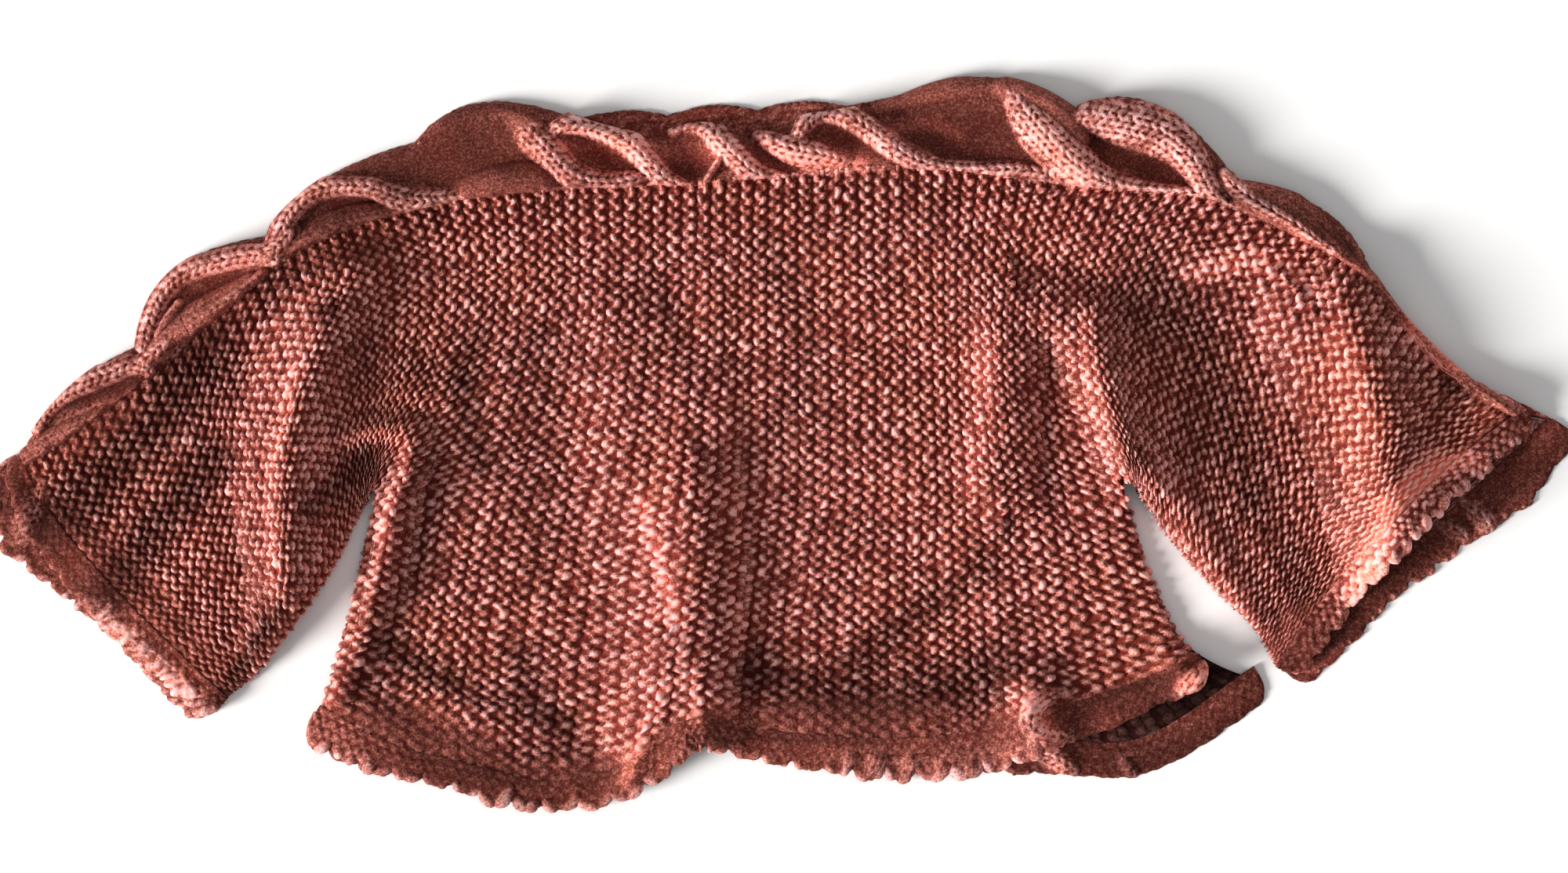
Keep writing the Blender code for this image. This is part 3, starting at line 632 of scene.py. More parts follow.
def sleeve_sheet(first, last, columns, rows, armpit):
    """Centre surface of a sleeve's front: ridge and stitch of each point, and its place. Rows run down."""
    places = np.linspace(first, last, columns + 1)
    tees, lengths = length_table(places, 0.0, 1.0)
    share = np.linspace(0, 1, rows + 1)[:, None]
    plan, drop = tucked((1 - share) * lengths[-1], SIDE_TURN * eased(np.abs(places - armpit) / 2.5))
    t = at_lengths(tees, lengths, lengths[-1] - plan)
    stitch = np.broadcast_to(share * SLEEVE_STITCHES, t.shape).copy()
    t[0] -= CABLE_TUCK
    stitch[0] = FIRST_STITCH
    ridge = np.broadcast_to(places, t.shape)
    return ridge, stitch, ridge, t, drop


def body_sheet(first, last, columns, rows_up, rows_down):
    """Centre surface of part of the body's front, turned down along its side below the armpit."""
    places = np.linspace(first, last, columns + 1)
    above = np.linspace(0, 1, rows_up + 1)[:, None]
    below = np.linspace(0, 1, rows_down + 1)[1:, None]
    tees, lengths = length_table(places, 0.0, 1.0)
    t_above = at_lengths(tees, lengths, above * lengths[-1])
    tees, lengths = length_table(places, 1.0, 2.0)
    t = np.concatenate([t_above, at_lengths(tees, lengths, below * lengths[-1])])
    t[0] -= CABLE_TUCK
    stitch = np.concatenate([np.broadcast_to(above * SLEEVE_STITCHES, t_above.shape),
                             SLEEVE_STITCHES + below * lengths[-1] / STITCH_PITCH])
    stitch[0] = FIRST_STITCH
    ridge = np.broadcast_to(places, t.shape)
    moved, drop = ridge, np.zeros(t.shape)
    for side, armpit in ((1, LEFT_ARMPIT), (-1, RIGHT_ARMPIT)):
        edge = cloth_point(FRONT_RIDGES, FRONT_HEM, float(armpit), t)
        inner = cloth_point(FRONT_RIDGES, FRONT_HEM, armpit + side * 3.0, t)
        pitch = np.hypot(inner[0] - edge[0], inner[1] - edge[1]) / 3.0
        plan, fall = tucked((ridge - armpit) * side * pitch, SIDE_TURN * eased((t - 1.0) / 0.14))
        near = (ridge - armpit) * side * pitch < 20.0
        moved = np.where(near, armpit + side * plan / pitch, moved)
        drop = np.where(near, fall, drop)
    return ridge, stitch, moved, t, drop


def purl_bumps(ridge, stitch, spread, squeeze=0.0):
    """Relief of garter stitch from 0 in the gaps to 1 on top, and a random share for each loop of yarn."""
    row = np.floor(ridge)
    place = 0.5 + (ridge - row - 0.5) * (1 + squeeze)
    high = 0.14 * unit(1 - (np.abs(place - 0.5) / 0.46) ** 2)
    share = 0.5 * hashed(row, np.floor(stitch * 2), 9)
    snake = (place - 0.5 + spread * 0.9 * np.cos(2 * math.pi * stitch)) / 0.15
    high = np.maximum(high, 0.40 * np.sqrt(unit(1 - snake**2)))
    for side, shift, extra in ((-1, 0.0, 0), (-1, 0.0, 1), (1, 0.5, 0), (1, 0.5, 1)):
        loop = np.floor(stitch - shift) + extra
        near = [hashed(row, loop, side * 3.0, k) for k in range(6)]
        along = (stitch - loop - shift - 0.22 * (near[0] - 0.5)) / (0.33 + 0.11 * near[1])
        middle = 0.5 + side * spread + 0.08 * (near[2] - 0.5)
        lean = side * 0.08 * along + 0.10 * (near[5] - 0.5) * along
        across = (place - middle + side * 0.17 * along**2 + lean) / (0.245 + 0.075 * near[3])
        loft = unit(1 - across**2) ** 0.6 * unit(1 - along**2) ** 0.6
        loft = loft * (0.66 + 0.34 * near[4])
        share = np.where(loft > high, hashed(row, loop, side * 5.0), share)
        high = np.maximum(high, loft)
    return high, share


def knit_v(along, column):
    """Relief of stockinette: two slanted legs a stitch, column counted in stitches, from 0 to 1."""
    wale = np.floor(column)
    off = np.abs(column - wale - 0.5)
    side = np.sign(column - wale - 0.5)
    high, share = np.zeros(np.shape(off)), np.zeros(np.shape(off))
    for extra in (-1, 0, 1, 2):
        row = np.floor(along / KNIT_ROW) + extra
        run = along / KNIT_ROW - row - 0.5 + 0.24 * (hashed(row, wale, side, 2) - 0.5)
        across = (off - 0.25 - 0.26 * run) / (0.205 + 0.05 * hashed(row, wale, side, 7))
        loft = np.sqrt(unit(1 - across**2)) * unit(1 - (run / 0.66) ** 2) ** 0.6
        loft = loft * (0.65 + 0.35 * hashed(row, wale, side, 4))
        share = np.where(loft > high, hashed(row, wale, side), share)
        high = np.maximum(high, loft)
    return high, share


def lay_strand(x, y, height, rise, share, stitch, painted_strand_light, clear, points):
    """Lays one knitted strand over a relief, where it stands higher, and changes the relief in place."""
    rows = np.array(points, float).reshape(-1, 4) / 10
    table = np.column_stack([length_along(rows[:, :2]), rows])
    fine = np.arange(0, table[-1, 0], 0.5)
    line = np.stack([run_through(table, c, fine) for c in range(1, 5)], -1)
    reach = line[:, 2].max() + 0.5
    low, high = line[:, :2].min(0) - reach, line[:, :2].max(0) + reach
    near = (x > low[0]) & (x < high[0]) & (y > low[1]) & (y < high[1])
    px, py = x[near], y[near]
    if not len(px):
        return
    dx, dy = px[:, None] - line[:, 0], py[:, None] - line[:, 1]
    away = np.hypot(dx, dy)
    k = away.argmin(1)
    each = np.arange(len(k))
    flow = np.gradient(line[:, :2], axis=0)
    side = np.sign(dx[each, k] * -flow[k, 1] + dy[each, k] * flow[k, 0])
    place = side * away[each, k] / line[k, 2]
    loft = unit(1 - np.abs(place) ** 2.2) ** 0.72
    legs, tail = knit_v(fine[k] + 0.7 * drift(px, py, 4.0, 39), place * line[k, 2] / stitch + 40)
    legs = legs * clear + (0.40 + 0.12 * fuzz_of(px, py, 1.3, 2.6, 61)) * (1 - clear)
    tall = line[k, 3] * loft + 1.5 * (legs - 0.6) * np.sqrt(loft) - 0.3
    # Painted light and shade: each strand's own brightness, and darker towards its rounded flanks as painted
    # shade.
    lit = (0.16 + 0.84 * legs) * (0.62 + 0.38 * loft) * painted_strand_light
    tail = tail * clear + 0.4 * (1 - clear)
    above = eased((tall - height[near]) / 0.6) * (np.abs(place) < 1)
    height[near] = np.where(above > 0, tall, height[near])
    rise[near] += above * (lit - rise[near])
    share[near] += above * (tail - share[near])


def lay_curls(x, y, height, rise, share, front):
    """Lays the curls of one layer of cloth over its relief."""
    for cloth, painted_strand_light, clear, points in CURLS:
        if cloth in ("front" if front else "back", "both"):
            lay_strand(x, y, height, rise, share, CURL_STITCH, painted_strand_light, clear, points)


def rope_relief(x, y, along, across, stitch):
    """Relief of the rope cable over its band in millimetres, with the yarn's rise and share, and the painted
    shade of its hollows and smooth bowls as a factor.
    """
    knit, share = knit_v(along + 1.5 * drift(x, y, 6.0, 35), across / stitch + 0.4 * drift(x, y, 5.0, 36))
    fuzz = fuzz_of(x, y, 1.3, 2.4, 37)
    spots = [spot(x, y, row) for row in HOLLOWS]
    smooth = np.maximum(eased(np.sqrt(np.max(spots, 0)) * 1.6), eased(across / 9.0 - 0.4))
    clear = 1 - 0.85 * smooth
    grain = hashed(np.floor(x / 0.9), np.floor(y / 0.9), 5) - 0.5
    height = 0.9 * clear * (knit - 0.5) - 0.4 + 0.12 * fuzz + 0.18 * grain * (1 - clear)
    rise = (0.22 + 0.56 * knit) * clear + (0.30 + 0.08 * fuzz + 0.10 * grain) * (1 - clear)
    share = share * clear + 0.35 * (1 - clear)
    # Painted shade in the bowls and hollows between the strands: their wool is darker and their rise lower,
    # and strands laid over them take none of it.
    painted_shade = 1 - 0.25 * smooth
    for inside, (*_, depth, painted_darkness) in zip(spots, HOLLOWS):
        height = height - depth * inside
        rise = rise * (1 - 0.35 * painted_darkness * inside)
        painted_shade = np.minimum(painted_shade, 1 - 0.60 * painted_darkness * np.sqrt(inside))
    height = np.maximum(height, -1.4)
    bare = height.copy()
    for strand in STRANDS:
        lay_strand(x, y, height, rise, share, stitch, *strand)
    return height, rise, share, painted_shade + (1 - painted_shade) * eased((height - bare) / 1.5)


def picot_relief(along, across, wide, pitch, seed, lumps, ribs, clear):
    """Relief of a scalloped edging in millimetres, with the yarn's rise and random share."""
    slip = 0.5 * drift(along, across, 6.0, seed + 9)
    knit, share = purl_bumps(across / 4.4 + 0.5 + 0.3 * slip, along / 4.3 + slip, 0.22)
    share = 0.35 + (share - 0.35) * (0.3 + 0.7 * unit(clear))
    fuzz = fuzz_of(along, across, 1.2, 2.6, seed + 3)
    height = (0.30 + 1.3 * clear) * (knit - 0.5) + 0.25 * fuzz
    rise = 0.23 - 0.13 * clear + (0.12 + 0.68 * clear) * knit + 0.05 * fuzz
    outer = eased((across / wide - 0.36 - 0.10 * drift(along, across, 5.0, seed + 7)) / 0.2)
    lean = along / 5.2 + 0.9 * drift(along, across * 0.5, 6.0, seed + 5) + 0.12 * across
    crest = np.abs(np.sin(math.pi * lean)) ** 0.9 * (0.75 + 0.35 * drift(along, across, 2.8, seed + 8))
    rib = ribs * outer
    height = height + rib * (1.8 * crest - 0.3)
    # The ribs are lighter along their crests, as painted highlight.
    rise = rise + rib * (0.10 + 0.52 * crest + 0.14 * fuzz)
    share = np.where(rib > 0.3, hashed(np.floor(lean), seed, 6), share)
    for extra in (-1, 0, 1):
        lump = np.floor(along / pitch * 2) + extra
        chance = [hashed(lump, seed, k) for k in range(6)]
        centre = (lump + 0.5 + 0.5 * (chance[0] - 0.5)) * pitch / 2
        size = (2.2 + 1.8 * chance[1]) * np.maximum(lumps, 0.01)
        turned = 0.7 + 0.6 * chance[2]
        away = np.hypot((along - centre) * turned, (across - wide + 0.6 + 1.6 * chance[3]) / turned) / size
        round_off = np.sqrt(unit(1 - away**2))
        ring = 0.5 + 0.5 * np.cos(away * size * 3.4 + 6 * chance[4] + fuzz)
        tall = (0.8 + 1.5 * chance[5]) * lumps * round_off + 0.30 * ring * round_off + 0.2 * fuzz
        # The lumps are lighter toward their tops, as painted highlight, with rings in them.
        lit = (0.50 + 0.30 * chance[2]) * round_off * (0.55 + 0.45 * ring) * unit(1.5 * lumps)
        above = (away < 1) & (tall > height)
        height = np.where(above, tall, height)
        rise = np.where(above, 0.30 + lit, rise)
        share = np.where(above, chance[4], share)
    return height, rise, share


def garter_piece(name, layout, deepest, loft, spread, material):
    """Garter stitches over part of the front panel, as relief on its centre surface."""
    ridge, stitch, moved, t, drop = (values[::-1] for values in layout)
    x, y = cloth_point(FRONT_RIDGES, FRONT_HEM, moved, t)
    points = np.stack([x, y, floor_under(x, y, True) + SURFACE - drop], -1)
    pulled = eased((0.20 - t) / 0.2)
    wander = 0.10 * drift(x, y, 9.0, 11) + 0.05 * drift(x, y, 3.5, 12)
    slip = 0.24 * drift(x, y, 10.0, 13) + 0.10 * drift(x, y, 4.0, 14)
    bumps, share = purl_bumps(ridge + wander * (1 - 0.6 * pulled), stitch + slip, spread, 0.22 * pulled)
    low = deepest + 0.6 * pulled
    edge = eased((2.0 - t) / 0.010 + 0.35)
    ragged = 0.25 * drift(x, y, 5.0, 15)
    felt = eased((t - 1.90) / 0.09 + ragged)
    felt = np.maximum(felt, eased(1 - (np.minimum(ridge, LAST_RIDGE - ridge) - 0.1) / 1.6 + ragged))
    for row in FELTED:
        felt = np.maximum(felt, row[5] * eased(1.7 * spot(x, y, row) + 0.6 * ragged))
    bumps = bumps * (1 - 0.68 * felt) + 0.20 * felt
    height = (-low + (low + loft) * bumps) * edge - 0.2 * (1 - edge)
    share = share * (1 - 0.7 * felt) + 0.28 * felt
    lay_curls(x, y, height, bumps, share, True)
    tone = 0.5 + 0.3 * drift(x, y, 17.0, 21) + 0.2 * drift(x, y, 48.0, 22)
    return knitted(name, raised(points, height, TALLEST), bumps, share, tone, painted_light(x, y), 0.16, material)


def core_piece(name, ridges, hem, front, inset, thickness, material):
    """The closed ground of a panel under its stitches."""
    places = np.linspace(0, LAST_RIDGE, LAST_RIDGE + 1)
    tees = np.concatenate([np.linspace(0, 1, 37), np.linspace(1, 2, 37)[1:]])[::-1]
    ridge, t = np.meshgrid(places, tees)
    body = (ridge >= LEFT_ARMPIT) & (ridge <= RIGHT_ARMPIT)
    side = inset / 6.0 * eased((t - 1.0) / 0.1)
    moved = np.where(t > 1, np.clip(ridge, LEFT_ARMPIT + side, RIGHT_ARMPIT - side), ridge)
    inner = np.clip(np.where(body, t, np.minimum(t, 1 - inset / 110.0)), 0.005, 2.0)
    x, y = cloth_point(ridges, hem, moved, inner)
    level = floor_under(x, y, True) + 0.45 if front else np.full(x.shape, thickness + 0.05)
    uv = np.stack([ridge, np.where(t <= 1, t * SLEEVE_STITCHES, SLEEVE_STITCHES + (t - 1) * 22.0)], -1)
    # Painted shade: the ground under the stitches is darker and never lighter than the painted light of the
    # place, and on the back it takes a painted shadow under the right hem.
    painted_hem_shadow = 1.0 if front else 1 - 0.95 * np.sqrt(spot(x, y, UNDER_HEM))
    light = 0.75 * np.minimum(painted_light(x, y), 1.0) * painted_hem_shadow
    return ground(name, np.stack([x, y, level], -1), light, uv, thickness, material, (t <= 1) | body)


def cable_layout(ridges, arches, columns, rows, radius, front):
    """Points of a cable band from its seam to its arches, with their floor, drop and knit coordinates."""
    places = np.linspace(0, LAST_RIDGE, columns + 1)
    low = np.stack(cloth_point(ridges, FRONT_HEM, places, 0.0), -1)
    high = arch_points(arches, places)
    width = np.hypot(*(high - low).T)
    share = np.linspace(0, 1, rows + 1)[:, None]
    plan, drop = tucked((1 - share) * width, radius * np.clip(width / 20.0, 0.4, 1), 9.0)
    inner = 1 - plan / width
    place = low + (high - low) * inner[..., None]
    base = FRONT_FLOOR + lift(*low.T) * (1 - inner**2) if front else np.zeros(plan.shape)
    return place, base, drop, np.broadcast_to(length_along(low), plan.shape), share * width


def cable_piece(name, ridges, arches, columns, rows, front, stitch, material):
    """The rope cable's relief over its band."""
    radius = 4.8 if front else 2.0
    place, base, drop, along, across = cable_layout(ridges, arches, columns, rows, radius, front)
    x, y = place[..., 0], place[..., 1]
    if front:
        height, rise, share, painted_shade = rope_relief(x, y, along, across, stitch)
    else:
        knit, share = knit_v(along, across / stitch)
        # The back band keeps low, dark wool colours, as painted shade behind the front.
        height, rise, painted_shade = 0.9 * (knit - 0.6), 0.12 + 0.30 * knit, 1.0
    seam = eased((across - 0.4) / (1.3 + 1.2 * drift(along, across, 2.6, 33) if front else 0.5))
    height = height * seam - 2.2 * (1 - seam)
    points = with_level(place, base + SURFACE + 0.4 - drop)
    points = raised(points, height, 1.0, np.clip(1 - drop / 4.8, 0.25, 1))
    tone = 0.5 + 0.25 * drift(x, y, 14.0, 31)
    return knitted(name, points, rise, share, tone, painted_shade * painted_light(x, y), 0.0, material)


def cable_core(name, ridges, arches, front, material):
    """The closed ground of a cable band."""
    place, base, _, along, across = cable_layout(ridges, arches, 234, 9, 0.01, front)
    middle = place.mean(0, keepdims=True)
    gap = np.hypot(*np.moveaxis(place - middle, -1, 0))
    place = middle + (place - middle) * unit(1 - 1.6 / np.maximum(gap, 1.7))[..., None]
    uv = np.stack([along / RIDGE_PITCH, across / STITCH_PITCH], -1)
    points = with_level(place, base + (0.3 if front else 1.5))
    # Painted shade of the ground under the stitches.
    return ground(name, points, np.full(across.shape, 0.7), uv, 0.8 if front else 1.4, material)


def seam_line(which):
    """Plan points of the seam that an edging is sewn to, from the same tables as the solids."""
    front = which.startswith("front")
    ridges, hem = (FRONT_RIDGES, FRONT_HEM) if front else (BACK_RIDGES, BACK_HEM)
    if which.endswith("hem"):
        return np.stack(cloth_point(ridges, hem, np.linspace(LEFT_ARMPIT, RIGHT_ARMPIT, 120), 2.0), -1)
    right = RIGHT_ARCHES if front else BACK_RIGHT_ARCHES
    ridge, arches = (0, LEFT_ARCHES) if which.endswith("left") else (LAST_RIDGE, right)
    garter = np.stack(cloth_point(ridges, FRONT_HEM, ridge, np.linspace(0, 1, 41)), -1)
    return np.concatenate([arch_points(arches, np.array([ridge], float)), garter])


def facing_up(place):
    """Whether a sheet's rows and columns run so that its faces look up."""
    row, column = place.shape[0] // 2, place.shape[1] // 2
    across, up = place[row, column + 1] - place[row, column], place[row + 1, column] - place[row, column]
    return across[0] * up[1] - across[1] * up[0] > 0


def edging_layout(name, step, rows, radius):
    """Points of an edging from its seam to its scallops, with rounded ends, and the pitch of its scallops."""
    which, outward_side, front, width, work = EDGINGS[name]
    work, seam = np.array(work), seam_line(which)
    length = length_along(seam)
    count = max(3, round(length[-1] / SCALLOP_PITCH))
    marks = np.linspace(0, length[-1], round(length[-1] / step) + 1)
    inner = np.stack([np.interp(marks, length, seam[:, i]) for i in (0, 1)], -1)
    window = max(3, round(13.0 / step)) | 1
    smooth = np.stack([np.convolve(np.pad(inner[:, i], window // 2, mode="reflect", reflect_type="odd"),
                                   np.ones(window) / window, "valid") for i in (0, 1)], -1)
    flow = np.gradient(smooth, axis=0)
    flow /= np.hypot(*flow.T)[:, None]
    away = np.stack([flow[:, 1], -flow[:, 0]], -1) * outward_side
    phase = marks / length[-1] * count
    bump = np.abs(np.sin(np.pi * phase)) ** 0.6 * (1 + 0.5 * (hashed(np.floor(phase), 4.0) - 0.5))
    lumpy = np.clip(1.4 * np.interp(marks / length[-1], work[:, 0], work[:, 1]), 0.2, 1)
    wide = np.interp(marks / length[-1], np.linspace(0, 1, len(width)), width)
    wide = wide + SCALLOP_DEPTH * (0.55 + (bump - 0.55) * lumpy)
    end = unit(np.minimum(marks, length[-1] - marks) / 8.0)
    wide = wide * (0.3 + 0.7 * np.sqrt(1 - (1 - end) ** 2))
    share = np.linspace(0, 1, rows + 1)[:, None]
    plan, drop = tucked((1 - share) * wide, np.full_like(wide, radius), 5.0)
    out = wide - plan
    place = inner + away * out[..., None]
    base = floor_under(place[..., 0], place[..., 1], front)
    values = [place, base, drop]
    values += [np.broadcast_to(value, out.shape) for value in (marks, share * wide, wide)]
    values = [value[:, ::-1] if outward_side < 0 else value[::-1] for value in values]
    if not facing_up(values[0]):
        values = [value[::-1] for value in values]
    return values, length[-1] / count


def edging_piece(name, seed, material):
    """The scalloped edging's relief, with its picots and knots of yarn."""
    front, work = EDGINGS[name][2], np.array(EDGINGS[name][4])
    values, pitch = edging_layout(name, 0.6, 22, 2.8 if front else 1.8)
    place, base, drop, along, across, wide = values
    x, y = place[..., 0], place[..., 1]
    points = with_level(place, base + (SURFACE if front else 1.8) - drop)
    lumps, ribs, painted_edging_light, knit = (np.interp(along / along.max(), work[:, 0], work[:, k]) for k in (1, 2, 3, 4))
    height, rise, share = picot_relief(along, across, wide, pitch, seed, lumps, ribs, knit)
    seam = eased(across / 0.9 + 0.3)
    height = height * seam - 0.2 * (1 - seam)
    lay_curls(x, y, height, rise, share, front)
    tone = 0.5 + 0.3 * drift(x, y, 12.0, 41)
    points = raised(points, height, TALLEST)
    # Painted light and shade: that of the place times the edging's own along its length.
    return knitted(name + "_knit", points, rise, share, tone, painted_light(x, y) * painted_edging_light, 0.08, material)


def edging_core(name, material):
    """The closed ground of an edging."""
    front = EDGINGS[name][2]
    (place, base, _, along, across, wide), _ = edging_layout(name, 2.0, 4, 0.01)
    seam = place[0] if across[0].max() < across[-1].max() else place[-1]
    place = place - (place - seam) / np.maximum(across, 0.1)[..., None] * (1.6 * across / wide)[..., None]
    uv = np.stack([across / RIDGE_PITCH, along / STITCH_PITCH], -1)
    points = with_level(place, base + (0.9 if front else 1.3))
    # Painted shade of the ground under the stitches.
    light = np.full(across.shape, 0.6)
    return ground(name + "_ground", points, light, uv, 0.8 if front else 1.2, material)


def shader_node(tree, kind, inputs=(), **settings):
    """A shader node with its settings, and its inputs by name or number as sockets or values."""
    node = tree.nodes.new("ShaderNode" + kind)
    for label, value in settings.items():
        setattr(node, label, value)
    for label, value in dict(inputs).items():
        if isinstance(value, bpy.types.NodeSocket):
            tree.links.new(value, node.inputs[label])
        else:
            node.inputs[label].default_value = value
    return node


def math_node(tree, operation, *values, clamp=False):
    """A Math node; gives its output socket."""
    return shader_node(tree, "Math", enumerate(values), operation=operation, use_clamp=clamp).outputs[0]


def blended(tree, share, first, second, kind="MIX"):
    """A colour mix by a share; gives its output socket."""
    node = shader_node(tree, "Mix", data_type="RGBA", blend_type=kind, clamp_factor=True)
    for number, socket in ((0, share), (6, first), (7, second)):
        tree.links.new(socket, node.inputs[number])
    return node.outputs[2]


def ranged(tree, value, low, high):
    """A smooth share of a value between two limits."""
    limits = {"Value": value, "From Min": low, "From Max": high}
    return shader_node(tree, "MapRange", limits, interpolation_type="SMOOTHSTEP").outputs["Result"]


def scaled(tree, colour, factor):
    """A colour times a factor."""
    return shader_node(tree, "VectorMath", {0: colour, "Scale": factor}, operation="SCALE").outputs[0]


def new_group(name, inputs, outputs):
    """A node group with named sockets; gives its tree, input node and output node."""
    tree = bpy.data.node_groups.new(name, "ShaderNodeTree")
    for side, sockets in (("INPUT", inputs), ("OUTPUT", outputs)):
        for label, kind in sockets:
            tree.interface.new_socket(label, in_out=side, socket_type="NodeSocket" + kind)
    return tree, tree.nodes.new("NodeGroupInput"), tree.nodes.new("NodeGroupOutput")


def yarn_group():
    """Wool colour from the yarn's rise out of the gaps, painted shade low in the gaps and a painted highlight
    on top, a random share for each loop, slow drift and painted light and shade.
    """
    sockets = [(label, "Float") for label in ("Rise", "Share", "Drift", "Painted Light")] + [("Vector", "Vector")]
    sockets += [(label, "Color") for label in WOOL_COLOURS]
    tree, start, end = new_group("Heather Wool", sockets, (("Color", "Color"), ("Height", "Float")))
    math_of, given = partial(math_node, tree), start.outputs
    fibres = {"Vector": given["Vector"], "Scale": 1100.0, "Detail": 4.0, "Roughness": 0.6}
    fibre = shader_node(tree, "TexNoise", fibres).outputs["Fac"]
    level = math_of("MULTIPLY_ADD", math_of("SUBTRACT", fibre, 0.5), 1.1, given["Rise"])
    level = math_of("MULTIPLY_ADD", math_of("SUBTRACT", given["Share"], 0.5), 0.22, level)
    # From the gaps up to the tops: painted shade low down, a painted highlight on top.
    colour = given["Gap"]
    for label, low, high in (("Shade", 0.02, 0.36), ("Body", 0.22, 0.62), ("Crest", 0.50, 0.98)):
        colour = blended(tree, ranged(tree, level, low, high), colour, given[label])
    warm = math_of("MULTIPLY", ranged(tree, given["Drift"], 0.35, 0.85), 0.45)
    colour = blended(tree, warm, colour, given["Warm"], "MULTIPLY")
    value = math_of("MULTIPLY_ADD", given["Share"], 0.48, 0.67)
    value = math_of("MULTIPLY_ADD", given["Drift"], 0.20, value)
    grain = math_of("MULTIPLY_ADD", fibre, 1.6, 0.2)
    # The painted light and shade that each piece gives scales the colour.
    colour = scaled(tree, colour, math_of("MULTIPLY", math_of("MULTIPLY", value, grain), given["Painted Light"]))
    red = shader_node(tree, "SeparateXYZ", {0: colour}).outputs[0]
    colour = scaled(tree, colour, math_of("DIVIDE", LIGHTEST, math_of("MAXIMUM", red, LIGHTEST)))
    tree.links.new(colour, end.inputs["Color"])
    tree.links.new(fibre, end.inputs["Height"])
    return tree


def purl_group():
    """Garter stitch as a pattern on a map of ridges and stitches: the yarn's rise and share for each loop."""
    sockets = (("Rise", "Float"), ("Share", "Float"))
    tree, start, end = new_group("Garter Pattern", (("Map", "Vector"),), sockets)
    math_of = partial(math_node, tree)
    ridge, stitch, _ = shader_node(tree, "SeparateXYZ", {0: start.outputs["Map"]}).outputs
    row = math_of("FLOOR", ridge)
    place = math_of("SUBTRACT", math_of("FRACT", ridge), 0.5)
    results = []
    for side, shift in ((-1, 0.0), (1, 0.5)):
        moved = math_of("ADD", stitch, shift)
        turn = math_of("MULTIPLY_ADD", math_of("FRACT", moved), 2.0, -1.0)
        square = math_of("MULTIPLY", turn, turn)
        bow = math_of("MULTIPLY_ADD", square, side * 0.10, place)
        across = math_of("DIVIDE", math_of("SUBTRACT", bow, side * 0.22), 0.21)
        round_off = math_of("SUBTRACT", 1.0, math_of("MULTIPLY", across, across), clamp=True)
        slope = math_of("MULTIPLY_ADD", square, -0.55, 1.0)
        loft = math_of("MULTIPLY", math_of("SQRT", round_off), slope)
        cell = shader_node(tree, "CombineXYZ", {0: row, 1: math_of("FLOOR", moved), 2: float(side)})
        chance = shader_node(tree, "TexWhiteNoise", {"Vector": cell.outputs[0]}, noise_dimensions="3D")
        results.append((loft, chance.outputs["Value"]))
    (left, left_share), (right, right_share) = results
    higher = math_of("GREATER_THAN", right, left)
    kept = math_of("MULTIPLY", left_share, math_of("SUBTRACT", 1.0, higher))
    tree.links.new(math_of("MAXIMUM", left, right), end.inputs["Rise"])
    tree.links.new(math_of("MULTIPLY_ADD", right_share, higher, kept), end.inputs["Share"])
    return tree


def new_material(name, **values):
    """A material and its shader, with values for the shader's sockets. Underlines stand for blanks."""
    material = bpy.data.materials.new(name)
    material.use_nodes = True
    surface = material.node_tree.nodes["Principled BSDF"]
    for label, value in values.items():
        surface.inputs[label.replace("_", " ")].default_value = value
    return material, surface


def wool(kind):
    """The wool of one finish, made once. Loops come from attributes or a pattern on the knit map."""
    found = bpy.data.materials.get(kind)
    if found is not None:
        return found
    colours = bpy.context.scene.sweater_colours
    looks = {label: (*getattr(colours, label.lower()), 1.0) for label in WOOL_COLOURS}
    material, surface = new_material(kind, Roughness=0.88, Specular_IOR_Level=0.06, Sheen_Weight=0.05,
                                     Sheen_Roughness=0.45, Sheen_Tint=looks["Crest"])
    tree = material.node_tree
    group = bpy.data.node_groups.get("Heather Wool") or yarn_group()
    yarn = shader_node(tree, "Group", looks, node_tree=group)
    places = shader_node(tree, "TexCoord").outputs["Object"]
    tree.links.new(places, yarn.inputs["Vector"])
    patterned = kind == "ground_wool"
    sources = (("painted_light", "Painted Light"), ("rise", "Rise"), ("share", "Share"), ("tone", "Drift"))
    for attribute, label in sources[:1 if patterned else 4]:
        source = shader_node(tree, "Attribute", attribute_name=attribute)
        tree.links.new(source.outputs["Fac"], yarn.inputs[label])
    height, strength, depth = yarn.outputs["Height"], 0.6, 0.4
    if patterned:
        pattern = bpy.data.node_groups.get("Garter Pattern") or purl_group()
        spread = shader_node(tree, "UVMap", uv_map="Knit").outputs["UV"]
        knit = shader_node(tree, "Group", node_tree=pattern)
        tree.links.new(spread, knit.inputs["Map"])
        # The ground stays in the darker colours, as painted shade under the stitches.
        softer = math_node(tree, "MULTIPLY_ADD", knit.outputs["Rise"], 0.55, 0.12)
        tree.links.new(softer, yarn.inputs["Rise"])
        tree.links.new(knit.outputs["Share"], yarn.inputs["Share"])
        yarn.inputs["Drift"].default_value = 0.5
        height, strength, depth = math_node(tree, "MULTIPLY_ADD", height, 0.2, knit.outputs["Rise"]), 0.8, 0.9
    relief = shader_node(tree, "Bump", {"Strength": strength, "Distance": depth * MM, "Height": height})
    tree.links.new(yarn.outputs["Color"], surface.inputs["Base Color"])
    tree.links.new(relief.outputs["Normal"], surface.inputs["Normal"])
    return material


def dressed(piece, node_slot, *nodes):
    """Lets a piece ride on the sweater and hides the solids that it stands for. The finish that it is given
    is not used.
    """
    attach(piece, "root")
    if nodes:
        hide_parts(*nodes)
    return piece


